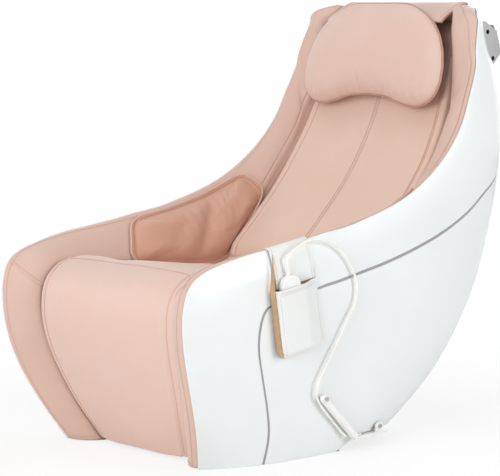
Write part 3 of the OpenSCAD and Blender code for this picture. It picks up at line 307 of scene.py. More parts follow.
def tube(points, r, sides=10, closed=False):
    """Tube along points; r is a radius or one radius per point."""
    p = np.array(points, float)
    t = np.roll(p, -1, 0) - np.roll(p, 1, 0) if closed else np.gradient(p, axis=0)
    t /= np.maximum(np.linalg.norm(t, axis=1, keepdims=True), 1e-9)
    ref = unit(np.cross(t[0], vec(0.31, 0.2, 0.93)))
    a = linspace(0, 2 * pi, sides, endpoint=False)
    rings = []
    for centre, way, radius in zip(p, t, np.broadcast_to(r, (len(p),))):
        ref = unit(ref - way * np.dot(ref, way))
        rings.append(centre + radius * (np.outer(np.cos(a), ref) + np.outer(np.sin(a), np.cross(way, ref))))
    return loft(rings + rings[:1], False) if closed else loft(rings)


def merge(*parts):
    verts, faces, n = [], [], 0
    for v, f in parts:
        verts.append(np.asarray(v, float))
        faces += [[k + n for k in q] for q in f]
        n += len(v)
    return np.concatenate(verts), faces


def make(name, data, body, material, slot, node=None, fill=0, edge=(), sharp=None, double=1e-6):
    """New piece from millimetre data, riding on a body.

    node is the solid it stands for, edge its bevel; fill, how tightly it is stuffed if it is padded, is not
    used.
    Faces that meet at more than sharp degrees are shaded apart; points nearer than double are joined.
    """
    verts, faces = data
    mesh = bpy.data.meshes.new(name)
    mesh.from_pydata([tuple(v) for v in np.asarray(verts) * MM], [], faces)
    bm = bmesh.new()
    bm.from_mesh(mesh)
    if double:
        bmesh.ops.remove_doubles(bm, verts=bm.verts, dist=double)
    bmesh.ops.recalc_face_normals(bm, faces=bm.faces)
    bm.to_mesh(mesh)
    bm.free()
    mesh.polygons.foreach_set("use_smooth", [True] * len(mesh.polygons))
    if sharp:
        mesh.set_sharp_from_angle(angle=radians(sharp))
    obj = bpy.data.objects.new(name, mesh)
    bpy.context.scene.collection.objects.link(obj)
    mesh.materials.append(material)
    if body:
        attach(obj, body)
    if edge:
        bevel(obj, *edge)
    if node:
        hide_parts(node)
    return obj


def mirrored(data):
    return data[0] * vec(-1, 1, 1), [f[::-1] for f in data[1]]


def both(name, data, body, material, slot, node=None, **kw):
    """A piece on each side: the given one on the right, its mirror image on the left."""
    for side, shape in (("_right", data), ("_left", mirrored(data))):
        make(name + side, shape, body, material, slot, node and node + side, **kw)


def bevel(obj, width, segments=3, angle=60):
    m = obj.modifiers.new("Bevel", "BEVEL")
    m.width, m.segments, m.limit_method, m.angle_limit = width, segments, "ANGLE", radians(angle)
    m.use_clamp_overlap = True


def run_length(p):
    return np.concatenate([[0], np.cumsum(np.linalg.norm(np.diff(p, axis=0), axis=1))])


def sample(d, p, x):
    return np.stack([np.interp(x, d, p[:, k]) for k in range(3)], -1)


def resample(points, step):
    """The same line with points an even step apart."""
    p = np.array(points, float)
    d = run_length(p)
    return sample(d, p, linspace(0, d[-1], max(2, int(round(d[-1] / step)) + 1)))


def stitches(line, pitch=5.0, length=3.4, r=0.6, lift=0.15):
    """Row of short thread capsules along a line of (point, normal) pairs."""
    p, normals = (np.array(x, float) for x in zip(*line))
    d = run_length(p)
    parts = []
    for i in range(int(d[-1] / pitch)):
        x = (i + 0.5) * pitch
        a, b, n = sample(d, p, x - length / 2), sample(d, p, x + length / 2), unit(sample(d, normals, x))
        ends, low, top = lift - r * 1.6, lift + r * 0.2, lift + r * 0.55
        dip = (b - a) * 0.12
        yarn = [a + n * ends, a + n * low + dip, (a + b) / 2 + n * top, b + n * low - dip, b + n * ends]
        parts.append(tube(yarn, [r * 0.6, r * 0.95, r, r * 0.95, r * 0.6], 6))
    return merge(*parts)


# ---- materials
def put(t, node, inputs):
    """Sets a node's inputs, each to a value or to another node's output."""
    for key, value in inputs.items():
        if isinstance(value, bpy.types.NodeSocket):
            t.links.new(value, node.inputs[key])
        else:
            node.inputs[key].default_value = value


def add(t, kind, inputs, out=0, **settings):
    """New shader node with its settings and inputs; gives one output."""
    n = t.nodes.new("ShaderNode" + kind)
    for key, value in settings.items():
        setattr(n, key, value)
    put(t, n, inputs)
    return n.outputs[out]


def noise_tex(t, vector, scale, detail=4.0, rough=0.5, distortion=0.0):
    return add(t, "TexNoise", {"Vector": vector, "Scale": scale, "Detail": detail, "Roughness": rough,
                               "Distortion": distortion}, "Fac")


def ramp(t, fac, stops):
    r = t.nodes.new("ShaderNodeValToRGB")
    e = r.color_ramp.elements
    while len(e) < len(stops):
        e.new(0.5)
    for el, (pos, col) in zip(e, stops):
        el.position = pos
        el.color = (*col, 1) if len(col) == 3 else (col[0],) * 3 + (1,)
    t.links.new(fac, r.inputs["Fac"])
    return r.outputs["Color"]


def bump_node(t, height, strength, distance, *normal):
    return add(t, "Bump", {"Height": height, "Strength": strength, "Distance": distance,
                           **{"Normal": n for n in normal}})


def map_range(t, value, low, high):
    return add(t, "MapRange", {"Value": value, "To Min": low, "To Max": high})


def math_node(t, op, a, b):
    return add(t, "Math", {0: a, 1: b}, operation=op)


def linear(c):
    """Screen colour, 0 to 255, as linear light."""
    return tuple(((v / 255 + 0.055) / 1.055) ** 2.4 if v > 10 else v / 255 / 12.92 for v in c)


def shade(c, k):
    return tuple(clamp(v * k) for v in c)


def look(name, colour, scale=(1, 1, 1)):
    """New material: itself, its node tree, scaled object coordinates and its colour in linear light."""
    m = bpy.data.materials.new(name)
    m.use_nodes = True
    t = m.node_tree
    v = add(t, "Mapping", {"Scale": scale, "Vector": add(t, "TexCoord", {}, "Object")})
    return m, t, v, linear(colour)


def dress(m, inputs):
    """The material with its main shader's inputs set."""
    put(m.node_tree, m.node_tree.nodes["Principled BSDF"], inputs)
    return m


def leather(name, colour, rough=0.5, grain=1.0, crease=0.3):
    """Soft leather: pebble grain, fine pores, faint mottling and worn creases."""
    m, t, v, base = look(name, colour)
    mottle = noise_tex(t, v, 9.0, 5, 0.6)
    warm = tuple(c * k for c, k in zip(base, (1.01, 0.97, 0.94)))
    wobble = noise_tex(t, v, 160, 3, 0.5)
    wavy = add(t, "VectorMath", {0: wobble, 1: (0.0016,) * 3, 2: v}, operation="MULTIPLY_ADD")
    cells = add(t, "TexVoronoi", {"Scale": 620, "Vector": wavy}, "Distance", feature="DISTANCE_TO_EDGE")
    pebbled = bump_node(t, map_range(t, cells, 0, 1), 0.35 * grain, 0.0005)
    porous = bump_node(t, noise_tex(t, v, 1500, 2, 0.5), 0.12 * grain, 0.0002, pebbled)
    return dress(m, {
        "Base Color": ramp(t, mottle, [(0.3, warm), (0.55, base), (0.75, shade(base, 1.04))]),
        "Normal": bump_node(t, noise_tex(t, v, 26, 4, 0.55, 0.6), crease, 0.0012, porous),
        "Roughness": map_range(t, mottle, rough - 0.05, rough + 0.07),
        "Specular IOR Level": 0.42, "Sheen Weight": 0.25, "Sheen Roughness": 0.5})


def plastic(name, colour, rough=0.3, texture=0.1, coat=0.0, scale=900):
    """Moulded plastic with fine orange peel and faint unevenness."""
    m, t, v, base = look(name, colour)
    tones = [(0.35, shade(base, 0.975)), (0.65, shade(base, 1.01))]
    peel = noise_tex(t, v, scale, 3, 0.5)
    fine = bump_node(t, peel, texture, 0.0002)
    return dress(m, {
        "Base Color": ramp(t, noise_tex(t, v, 5, 3, 0.5), tones),
        "Normal": bump_node(t, noise_tex(t, v, 34, 2, 0.4), texture * 0.5, 0.0006, fine),
        "Roughness": map_range(t, peel, rough - 0.04, rough + 0.05),
        "Coat Weight": coat, "Coat Roughness": 0.12})


def metal(name, colour, rough=0.25, along=(1, 60, 60), texture=0.1):
    """Brushed or polished metal, its grain along one axis."""
    m, t, v, base = look(name, colour, along)
    grain = noise_tex(t, v, 30, 4, 0.6)
    return dress(m, {
        "Base Color": ramp(t, grain, [(0.3, shade(base, 0.9)), (0.7, shade(base, 1.05))]),
        "Metallic": 1, "Roughness": map_range(t, grain, max(0.03, rough - 0.06), rough + 0.08),
        "Normal": bump_node(t, grain, texture, 0.0001)})


def paint(name, colour, rough=0.4):
    """Powder coat: a pebbled film with worn, slightly darker patches."""
    m, t, v, base = look(name, colour)
    film = noise_tex(t, v, 420, 3, 0.5)
    tones = [(0.3, shade(base, 0.93)), (0.6, base)]
    return dress(m, {
        "Base Color": ramp(t, noise_tex(t, v, 14, 5, 0.6), tones),
        "Normal": bump_node(t, film, 0.14, 0.0004),
        "Roughness": map_range(t, film, rough - 0.05, rough + 0.08)})


def rubber(name, colour, rough=0.65):
    m, t, v, base = look(name, colour)
    dust = noise_tex(t, v, 40, 5, 0.65)
    return dress(m, {
        "Base Color": ramp(t, dust, [(0.35, base), (0.75, shade(base, 1.12))]),
        "Normal": bump_node(t, noise_tex(t, v, 1100, 3, 0.5), 0.15, 0.0002),
        "Roughness": map_range(t, dust, rough - 0.06, rough + 0.06)})


def thread(name, colour):
    """Sewing thread: a twisted yarn."""
    m, t, v, base = look(name, colour)
    twist = add(t, "TexWave", {"Scale": 420, "Distortion": 2, "Vector": v}, "Fac")
    return dress(m, {
        "Base Color": ramp(t, twist, [(0.2, shade(base, 0.85)), (0.8, base)]),
        "Normal": bump_node(t, twist, 0.3, 0.0002), "Roughness": 0.8})


def cloth(name, colour):
    """Napped lining cloth with a fine weave."""
    m, t, v, base = look(name, colour)
    w1, w2 = (add(t, "TexWave", {"Scale": 330, "Vector": v}, "Fac", bands_direction=k) for k in "YZ")
    tones = [(0.3, shade(base, 0.82)), (0.7, shade(base, 1.1))]
    return dress(m, {
        "Base Color": ramp(t, noise_tex(t, v, 60, 5, 0.7), tones),
        "Normal": bump_node(t, math_node(t, "ADD", w1, w2), 0.3, 0.0003),
        "Roughness": 0.85, "Sheen Weight": 0.25})


def wood(name, colour):
    m, t, v, base = look(name, colour, (1, 12, 12))
    grain = noise_tex(t, v, 6, 6, 0.6, 1.5)
    return dress(m, {
        "Base Color": ramp(t, grain, [(0.3, shade(base, 0.72)), (0.65, base)]),
        "Normal": bump_node(t, grain, 0.2, 0.0005), "Roughness": 0.7})


M_LEATHER = leather("leather_pink", (217, 188, 175))
M_ARM = leather("leather_arm", (209, 178, 164))
M_PAD = leather("leather_pad", (220, 190, 174), 0.47, 0.8, 0.3)
# Painted shade: the airbags' leather is a darker, more saturated copy of the pink leather, for the shade on
# the arm's inner face.
M_AIRBAG_SHADE = leather("leather_airbag_painted_shade", (203, 156, 135), 0.46, 0.9, 0.45)
# Painted shade: the wells' leather is a dark copy of the pink leather, standing in for the shade down in the
# recess.
M_WELL_SHADE = leather("leather_well_painted_shade", (178, 126, 106), 0.6, 0.8, 0.3)
M_PIPING = leather("leather_piping", (211, 176, 161), 0.42, 0.5, 0.1)
# Painted shade: hems and pillow piping use a darker copy of the leather, for the shade lines under the
# strap's and pillow's edges.
M_HEM_SHADE = leather("leather_hem_painted_shade", (184, 140, 120), 0.44, 0.5, 0.1)
M_POCKET = leather("pocket_leather", (230, 232, 231), 0.5, 0.8, 0.15)
M_SHELL = plastic("shell_plastic", (232, 235, 235), 0.3, 0.05, 0.25)
M_TRIM = plastic("trim_plastic", (158, 153, 159), 0.42, 0.12)
M_HANDSET = plastic("handset_plastic", (239, 240, 239), 0.22, 0.06, 0.4)
M_KEY = plastic("key_plastic", (150, 152, 156), 0.45, 0.15)
M_POWER = plastic("power_key_plastic", (196, 82, 70), 0.4, 0.12)
M_BLACK = plastic("black_plastic", (40, 40, 42), 0.5, 0.2, 0, 500)
M_SWITCH = plastic("switch_plastic", (26, 26, 28), 0.3, 0.08, 0.2)
M_GREYPL = plastic("arm_plastic", (140, 140, 143), 0.5, 0.2, 0, 400)
M_NYLON = plastic("nylon", (228, 226, 214), 0.5, 0.12)
M_BOARD = plastic("circuit_board", (44, 96, 60), 0.45, 0.2, 0.1, 260)
M_PUMP = paint("motor_paint", (62, 65, 70), 0.45)
M_STAND = paint("stand_paint", (244, 243, 241), 0.36)
M_FRAME = paint("frame_paint", (78, 80, 84), 0.5)
M_STEEL = metal("steel", (184, 184, 188), 0.3, (1, 40, 40))
M_HANDLE = metal("handle_metal", (196, 196, 199), 0.2, (1, 50, 50), 0.05)
# Painted reflection: the handle's base colour runs dark and bright with the facing angle, standing in for the
# bands a polished plate reflects.
reflection_facing = add(M_HANDLE.node_tree, "LayerWeight", {"Blend": 0.5}, "Facing")
dress(M_HANDLE, {"Base Color": ramp(M_HANDLE.node_tree, reflection_facing, [
    (0.1, (0.35,)), (0.3, (0.8,)), (0.36, (0.25,)), (0.5, (0.06,)), (0.85, (0.5,))])})
M_DARK = metal("screw_metal", (60, 60, 64), 0.4, (20, 20, 20))
M_CORD = rubber("cord_rubber", (237, 235, 228), 0.5)
M_RUBBER = rubber("pad_rubber", (222, 221, 217), 0.75)
M_ROLLER = rubber("roller_rubber", (72, 72, 78), 0.55)
M_THREAD = thread("thread_pink", (198, 150, 130))
M_THREAD_D = thread("thread_brown", (156, 104, 84))
M_THREAD_W = thread("thread_white", (186, 186, 186))
M_LINING = cloth("lining_tan", (192, 154, 112))
M_WOOD = wood("plywood", (196, 164, 118))

CAD_MATERIALS = {
    M_HANDLE: "rear_handle", M_DARK: "handle_screws", M_STAND: "rear_skids", M_RUBBER: "floor_pads",
    M_STEEL: "skid_bolts cover_hinge_rod rail_right rail_left rail_ties pinion_shaft knead_shaft",
    M_BLACK: "base_pan power_inlet carriage_frame", M_SWITCH: "power_switch", M_FRAME: "base_frame",
    M_WOOD: "seat_board arm_frame_right arm_frame_left", M_NYLON: "guide_shoes air_valves",
    M_PUMP: "travel_motor knead_motor air_pump power_supply", M_GREYPL: "massage_arm_right massage_arm_left",
    M_ROLLER: "roller_right_upper roller_right_lower roller_left_upper roller_left_lower",
    M_BOARD: "control_box", M_CORD: "cord_gland",
}
BEVELS = {"rear_handle": 0.0009, "rear_skids": 0.0008, "power_inlet": 0.0008, "power_switch": 0.0006,
          "base_pan": 0.0006, "base_frame": 0.0015, "handle_screws": 0.0004, "skid_bolts": 0.0003}
for material, names in CAD_MATERIALS.items():
    for node in names.split():
        o = NODES[node]
        o.data.materials.clear()
        o.data.materials.append(material)
        o.data.polygons.foreach_set("use_smooth", [True] * len(o.data.polygons))
        o.data.set_sharp_from_angle(angle=radians(30))
        if node in BEVELS:
            bevel(o, BEVELS[node], 2, 40)


# ---- shell and trim
def on_band(s, f):
    return band_point(s, mix(trim_edge(s, GAP / 2), 1, f))


SHELL_EDGE = (0.0011, 3, 50)


def shelled(outer):
    """The shell's moulding under its outer face."""
    return between(outer, outer - WALL * grid_normals(outer))


upper = shelled(grid(on_band, linspace(0, LAST, 150), linspace(0, 1, 22)))
both("shell_upper", upper, "chair", M_SHELL, "shell_white", "side_shell", edge=SHELL_EDGE, sharp=40)

half = grid(lambda v, u: on_shell(*patch(u, v)), linspace(0, 1, 24), linspace(0, 1, 75))
full = np.concatenate([half, half[:, -2::-1] * vec(-1, 1, 1)], 1)[:, ::-1]
make("shell_lower", shelled(full), "chair", M_SHELL, "shell_white", "rear_shell", edge=SHELL_EDGE, sharp=40)

strip = grid(lambda s, e: on_shell(*mix(spline(TRIM, s), spline(RIM, s), e * trim_edge(s, -GAP / 2))),
             linspace(0, LAST, 170), linspace(-1, 1, 5))
inward = -grid_normals(strip)
hollow = np.array([0.9, 1.3, 1.4, 1.3, 0.9])[None, :, None]
length = between(strip + inward * hollow, strip + TRIM_D * inward)
make("trim", merge(length, mirrored(length)), "chair", M_TRIM, "trim_grey", "trim_strip", sharp=50)

# ---- arm liners
WELL_EDGE, SEAT_EDGE, BACK_EDGE = COVER_W / 2 + 8, SEAT_W / 2 + 9, BACK_W / 2 + 5
LINER_EDGE = [(COVER_LOW / 2 + 7, -304, BASE_LIP), (WELL_EDGE - 40, -345, 85), (WELL_EDGE - 12, -381, 178),
              (WELL_EDGE - 2, -408, 268), (WELL_EDGE, -412, 335), (WELL_EDGE, -390, 378),
              (SEAT_EDGE - 6, -345, 400), (SEAT_EDGE, -270, 394), (SEAT_EDGE + 2, -165, 386),
              (SEAT_EDGE + 3, -50, 376), (SEAT_EDGE + 3, 50, 370), (SEAT_EDGE, 140, 385),
              (BACK_EDGE + 8, 220, 470), (BACK_EDGE + 6, 300, 562), (BACK_EDGE + 2, 362, 642),
              (BACK_EDGE - 2, 410, 730), (BACK_EDGE - 10, 436, 800), (BACK_EDGE - 20, 462, 865),
              (BACK_EDGE - 34, 488, 920), (BACK_EDGE - 40, 510, 956)]
LINER_END = CORNER + 23 * (LAST - CORNER) / 26
PUFF, LINER_T, WING_PUFF, WING_FROM = 15, 7, 30, 15
WING_DIR = vec(-0.42, -0.74, 0.52)


@functools.cache
def rim_dir(s):
    return unit(band_point(s, 1) - band_point(s, 0.9))


@functools.cache
def rim_along(s):
    return unit(band_point(min(s + 0.1, LAST), 1) - band_point(max(s - 0.1, 0), 1))


@functools.cache
def liner_start(s):
    return band_point(s, 1) - (WALL + 0.5) * unit(np.cross(rim_along(s), rim_dir(s)))


@functools.cache
def liner_stop(s):
    return spline(LINER_EDGE, s)


@functools.cache
def liner_normal(s):
    k = min(s, WING_FROM + 1)
    n = unit(np.cross(rim_along(k), liner_stop(k) - liner_start(k)))
    return unit(mix(n, WING_DIR, clamp((s - WING_FROM) / 2)))


@functools.cache
def liner_width(s):
    return np.linalg.norm(liner_stop(s) - liner_start(s))


def swell(s):
    return (PUFF + WING_PUFF * clamp((s - WING_FROM) / 2)) * clamp(2 * (LINER_END - s))


def liner_face(s, f, sink=0.0):
    a = liner_start(s) - sink * rim_dir(s)
    lift = (swell(s) - sink) * max(0, sin(pi * f)) ** 0.55
    return mix(a, liner_stop(s), f) + liner_normal(s) * (lift - (sink / 2 if f == 1 else 0))


SEAM_IN = 17.0          # how far the rim's seam lies inside the edge
ARM_SEAM, SEAM_SLOPE = 5.04, 0.73   # the seam across the arm's front: its station at the rim, and its slope
SHOULDER_AT, SHOULDER = 16.2, 4     # where the wing's leather rolls over the shell's rim, and how far
TUCK_SIDE, TUCK_DEPTH, TUCK_BEHIND = 5, 36, 55


def tuck(s, step):
    """Way of the leather past the liner's edge: aside, down into the gap, then behind the next pad."""
    ways = mix(mix(vec(0, 1, 0), vec(0, 0, -1), ease(s - 5)), vec(0, 0.8, -0.5), ease(s - 11))
    last = mix(0.2, 1, ease((s - 12) / 3))
    aside, deep, behind = [(1, 0.1, 0), (1, 0.5, 0), (1.3, 0.9, 0), (1.3, 1, last)][step]
    side = TUCK_SIDE * (1 - 0.7 * bump(s - 12, 1.2)) * ease(s - 4.2)
    return ways * TUCK_DEPTH * deep - vec(side * aside + TUCK_BEHIND * behind, 0, 0)


def arm_seam(f):
    return ARM_SEAM - SEAM_SLOPE * f


def liner_detail(s, f):
    """Height added to the liner: seams, and soft wrinkles along the arm."""
    p = liner_face(s, f)
    along = f * liner_width(s) + 9 * min(1, f * 8)
    h = -1.3 * bump(along - SEAM_IN, 1.6) + 0.5 * bump(along - SEAM_IN - 5, 3)
    inner = (1 - f) * liner_width(s)
    h += ease((s - 11.5) * 2) * (1.2 * bump(inner - 11, 8) - 2.4 * bump(inner - 23, 2.2))
    h += SHOULDER * bump(s - SHOULDER_AT, 1.6) * bump(f - 0.09, 0.09)
    gapm = abs(s - arm_seam(f)) * 60
    h += -1.6 * bump(gapm, 2.2) + 0.7 * bump(gapm - 6, 4)
    h += 1.3 * fold(p, 0.011, 3) * sin(pi * clamp(f)) ** 0.5
    h += 1.5 * bump(s - 12.5, 2.6) * fold(p * vec(1, 1, 0.4), 0.03, 9) * sin(pi * f)
    return h


def on_liner(s, f, k=None):
    """Place on the leather and its normal, taken at the station k where that is given."""
    n = liner_normal(s if k is None else k)
    return liner_face(s, f) + n * liner_detail(s, f), n


def liner_data():
    s_all = spans((0, 4.1, 36), (4.14, 5.2, 38), (5.28, LINER_END, 128))
    f_all = np.concatenate([[(j / 44) ** 1.3 for j in range(37)], linspace(0.785, 1, 24)])
    front, back = [], []
    for s in s_all:
        front.append([on_liner(s, f)[0] for f in f_all] + [liner_face(s, 1) + tuck(s, k) for k in range(4)])
        inner = liner_face(s, 1, LINER_T) + vec(3, 0, 0)
        back.append([liner_face(s, f, LINER_T) for f in f_all] + [inner + tuck(s, k) for k in range(4)])
    return sheet(np.array(front), np.array(back))


def rim_seam(inset):
    """Line on the liner a set distance in from its rim."""
    for s in linspace(0.1, LINER_END - 0.3, int((LINER_END - 0.4) * 30)):
        yield on_liner(s, clamp((inset - 9) / liner_width(s), 0.005, 0.99))


both("arm_leather", liner_data(), "chair", M_ARM, "leather_pink", "arm_liner", fill=0.8)
across = [on_liner(arm_seam(f) + 0.09, f, ARM_SEAM) for f in linspace(0.04, 0.96, 60)]
foot = [on_liner(0.16, f) for f in linspace(0.2, 0.96, 30)]
sew = merge(*[stitches(line) for line in (rim_seam(SEAM_IN + 4.5), across, foot)])
both("arm_stitching", sew, "chair", M_THREAD, "leather_pink", double=0)

# ---- side airbags
AIR_PUFF, AIR_SEAT, AIR_FLANGE, AIR_HALF_L, AIR_HALF_H = 19, 1.5, 8, 118, 62
# The upper and lower edge: front and rear stations, and place down the liner.
AIR_TOP, AIR_LOW = (8.6, 11.6, 0.09), (8.05, 12.75, 1.12)


@functools.cache
def airbag_normal(s):
    return unit(np.cross(rim_along(s), liner_stop(s) - liner_start(s)))


def airbag_point(u, v, h):
    """Place on the airbag: u from front to rear, v from top to bottom, both -1 to 1, with rounded corners."""
    m = max(abs(u), abs(v), 1e-6)
    k = ((abs(u) / m) ** 5 + (abs(v) / m) ** 5) ** -0.2
    front, rear, down = (mix(a, b, (k * v + 1) / 2) for a, b in zip(AIR_TOP, AIR_LOW))
    s, f = mix(front, rear, (k * u + 1) / 2), down
    n = airbag_normal(s)
    return liner_face(s, f) + h * n, n


def airbag_height(u, v):
    """The cell's puff inside its sewn flange, gathers below the upper seam and one deep slanting fold."""
    edge = min((1 - abs(u)) * AIR_HALF_L, (1 - abs(v)) * AIR_HALF_H)
    inner = max(0, edge - AIR_FLANGE)
    full = 1 - exp(-(inner / 15) ** 1.2)
    t = (v + 1) / 2
    swell = 3.5 + AIR_PUFF * full - 1.2 * bump(edge - AIR_FLANGE, 2)
    gather = 3.2 * sin(u * 46 + 4 * fold(vec(u, v, 0), 1.5, 2)) * exp(-t * 4) * bump(u - 0.1, 0.5)
    deep = -13 * bump(u - mix(0.36, -0.22, t), 0.12) * (0.35 + 0.65 * bump(t - 0.45, 0.4))
    ridge = 3.5 * bump(u - mix(0.66, 0.12, t), 0.14)
    soft = -4 * bump(u - mix(-0.1, -0.62, t), 0.12) * bump(t - 0.5, 0.4)
    return swell + full * (gather + deep + ridge + soft + 2.2 * fold(vec(u, v, 3), 1.8, 8))


def on_airbag(u, v):
    return airbag_point(u, v, AIR_SEAT + airbag_height(u, v))


def airbag_data():
    us, vs = (np.sign(k) * np.abs(k) ** 0.85 for k in (linspace(-1, 1, 150), linspace(-1, 1, 80)))
    return sheet(grid(lambda u, v: on_airbag(u, v)[0], us, vs),
                 grid(lambda u, v: airbag_point(u, v, AIR_SEAT)[0], us, vs))


both("airbag_leather", airbag_data(), "chair", M_AIRBAG_SHADE, "leather_fold", "side_airbag", fill=0.4)


def airbag_loop(inset):
    """Closed line round the airbag, a set distance inside its edge."""
    a, b = 1 - inset / AIR_HALF_L, 1 - inset / AIR_HALF_H
    loop = ([(-a, v) for v in linspace(-b, b, 50)] + [(u, b) for u in linspace(-a, a, 90)][1:]
            + [(a, v) for v in linspace(b, -b, 50)][1:] + [(u, -b) for u in linspace(a, -a, 90)][1:-1])
    return [on_airbag(u, v) for u, v in loop]


line = [p for p, _ in airbag_loop(0)]
piping = tube(resample(line + line[:1], 4)[:-1], 2.6, closed=True)
both("airbag_piping", piping, "chair", M_PIPING, "leather_fold")
both("airbag_stitching", stitches(airbag_loop(AIR_FLANGE - 3)), "chair", M_THREAD_D, "leather_fold", double=0)

# ---- seat cushion
SEAT_FRONT, SEAT_REAR = 154 - NOSE, 132
SEAT_LINE = [(SEAT_FRONT + y, SEAT_H - down)
             for y, down in ((0, 28), (16, 18), (50, 14), (130, 18), (280, 36))]
SEAT_LINE += [(SEAT_REAR - 14, SEAT_H - 50), (SEAT_REAR, SEAT_H - 55)]


def seat_top(u, y):
    h = smooth(SEAT_LINE, y) + 3 * (1 - u * u) - 7 * abs(u) ** 8
    h += 1.6 * fold(vec(u * 200, y, 0), 0.012, 5)
    h += 1.8 * fold(vec(u * 240, y * 0.35, 0), 0.035, 1) * abs(u) ** 2
    return h - 1.6 * bump((abs(u) - 0.86) * 236, 2)


us = np.sin(linspace(-pi / 2, pi / 2, 71))
ys = mix(SEAT_FRONT, SEAT_REAR, (1 - np.cos(linspace(0, pi, 61))) / 2)
make("seat_leather", sheet(*[grid(lambda y, u: (u * SEAT_W / 2, y, top(u, y)), ys, us)
                             for top in (seat_top, lambda u, y: SEAT_H - SEAT_T)]),
     "chair", M_PAD, "leather_pink", "seat_cushion", 0.8, (0.005,), sharp=60)
fold_line = [(x, SEAT_REAR + 11, SEAT_H - 48 + 1.5 * fold(vec(x, 0, 0), 0.02, 8))
             for x in linspace(6 - SEAT_W / 2, SEAT_W / 2 - 6, 60)]
make("seat_rear_fold", tube(fold_line, 12, 20), "chair", M_PAD, "leather_pink")

# ---- back pad
BACK_Y, BACK_Z = -277, 1035


def back_knot(degrees_up, up):
    """Knot of the pad's middle line: on the back's arc, or further up along its end."""
    a, end = radians(degrees_up), radians(66)
    return vec(0, BACK_Y + BACK_R * sin(a), BACK_Z - BACK_R * cos(a)) + up * vec(0, cos(end), sin(end))


KNOTS = [back_knot(*k) for k in ((36, -62), (36, -20), (41, 0), (48, 0), (55, 0), (62, 0), (68, 0), (68, 90),
                                 (68, 190))]
BACK_END = len(KNOTS) - 1


@functools.cache
def back_at(s):
    return spline(KNOTS, s)


@functools.cache
def back_normal(s):
    t = unit(spline(KNOTS, s + 0.02) - spline(KNOTS, s - 0.02))
    return vec(0, -t[2], t[1])


def back_half(s):
    return mix(BACK_W, BACK_TOP, max(0, (s / BACK_END - 0.45) / 0.55) ** 1.8) / 2


ROLL_END, ROLL_R = 7.2, 8.5         # the side rolls: the station where they stop, and half their width


def back_height(u, s):
    """Crown, sewn middle seam, and a stuffed roll along each side, set off by a groove."""
    w = back_half(s)
    x = u * w
    edge = w - abs(x)
    h = 4 * sin(pi * abs(u)) ** 2 - 6 * abs(u) ** 10
    h -= 8 * max(0, 1 - s * 3) ** 2 + 5 * max(0, (s - BACK_END) * 2 + 1) ** 2
    h -= 3.2 * bump(x, 1.8)
    h -= 0.8 * bump(abs(x) - 5, 1.2)
    roll = clamp((ROLL_END - s) / 0.05) * clamp((s - 0.2) / 0.1)
    firm = 1 if u > 0 else 0.35         # the left roll is sat flat
    h += firm * roll * 6 * sqrt(max(0, 1 - ((edge - ROLL_R) / ROLL_R) ** 2))
    h -= firm * 4.2 * bump(edge - 2 * ROLL_R - 1.5, 2.0) - 1.4 * bump(edge - 27, 5)
    p = back_at(s) + vec(x, 0, 0)
    h += 1.5 * fold(p, 0.010, 7)
    low = ease((3.0 - s) / 2.5)
    h += 1.7 * low * fold(p * vec(0.35, 1, 1), 0.022, 2)
    return h + 0.8 * fold(p * vec(1, 0.4, 0.4), 0.05, 6) * bump(w - abs(x) - 30, 26)


def on_back(u, s, h=None):
    """Place on the pad's face, or at a height over its middle surface."""
    h = back_height(u, s) if h is None else h
    return back_at(s) + vec(u * back_half(s), 0, 0) + back_normal(s) * h


s_all = spans((0.03, 7.1, 112), (7.14, 7.26, 9), (7.32, BACK_END + 0.1, 14))
dense = spans((0, 0.04, 12), (0.05, 0.85, 32), (0.86, 1, 26))
dense = np.concatenate([-dense[:0:-1], dense])
make("back_leather", sheet(*[grid(lambda s, u: on_back(u, s, h), s_all, dense) for h in (None, -BACK_T)]),
     "chair", M_PAD, "leather_pink", "back_pad", 0.8, (0.004,), sharp=60)
rows = [lambda w: -5 / w, lambda w: 5 / w]                  # either side of the middle seam
rows += [lambda w: -1 + (2 * ROLL_R + 6.5) / w, lambda w: 1 - (2 * ROLL_R + 6.5) / w]      # inside the rolls
s_line = linspace(0.35, BACK_END - 0.25, 170)
sew = [stitches([(on_back(place(back_half(s)), s), back_normal(s)) for s in s_line]) for place in rows]
make("back_stitching", merge(*sew), "chair", M_THREAD_D, "leather_pink", double=0)

# ---- top roll, strap and pillow
STRAP_Y, STRAP_Z, HEM_R = REAR - 72, CHAIR_H + 4, 4
ROLL_W = BACK_TOP - 30
ring = []
for a in range(28):
    d = vec(cos(pi * a / 14), sin(pi * a / 14))
    ring.append(max((vec(STRAP_Y + y, CHAIR_H + z) + r * d for y, z, r in ((-10, -18, 12), (-4, -27, 10))),
                    key=lambda q: float(np.dot(q, d))))
rings = [[(x * ROLL_W / 2, mix(STRAP_Y - 8, p[0], k), mix(CHAIR_H - 21, p[1], k)) for p in ring]
         for x, k in [(-1, 0.55), (-0.985, 0.9), (-0.95, 1)] + [(x, 1) for x in linspace(-0.9, 0.9, 40)]
         + [(0.95, 1), (0.985, 0.9), (1, 0.55)]]
make("top_roll_leather", loft(rings), "chair", M_LEATHER, "leather_pink", "top_roll", 0.8)

STRAP_T, SIDE_HEM_R = 4.5, 3.2
STRAP_LINE = [(STRAP_Y - y, STRAP_Z + z) for y, z in (
    (0, HEM_R), (8, HEM_R + 1), (28, -2), (50, -13), (72, -25), (90, -38))]


@functools.cache
def strap_at(s):
    p, n = line_at(STRAP_LINE, s)
    return vec(0, *p), vec(0, *n)


def strap_point(u, s, h=0.0):
    p, n = strap_at(s)
    p = p + vec(u * STRAP_W / 2, 0, 0)
    sag = -1.4 * (1 - u * u) * sin(pi * s / 5)
    return p + n * (h + sag + 0.8 * fold(p, 0.02, 12)), n


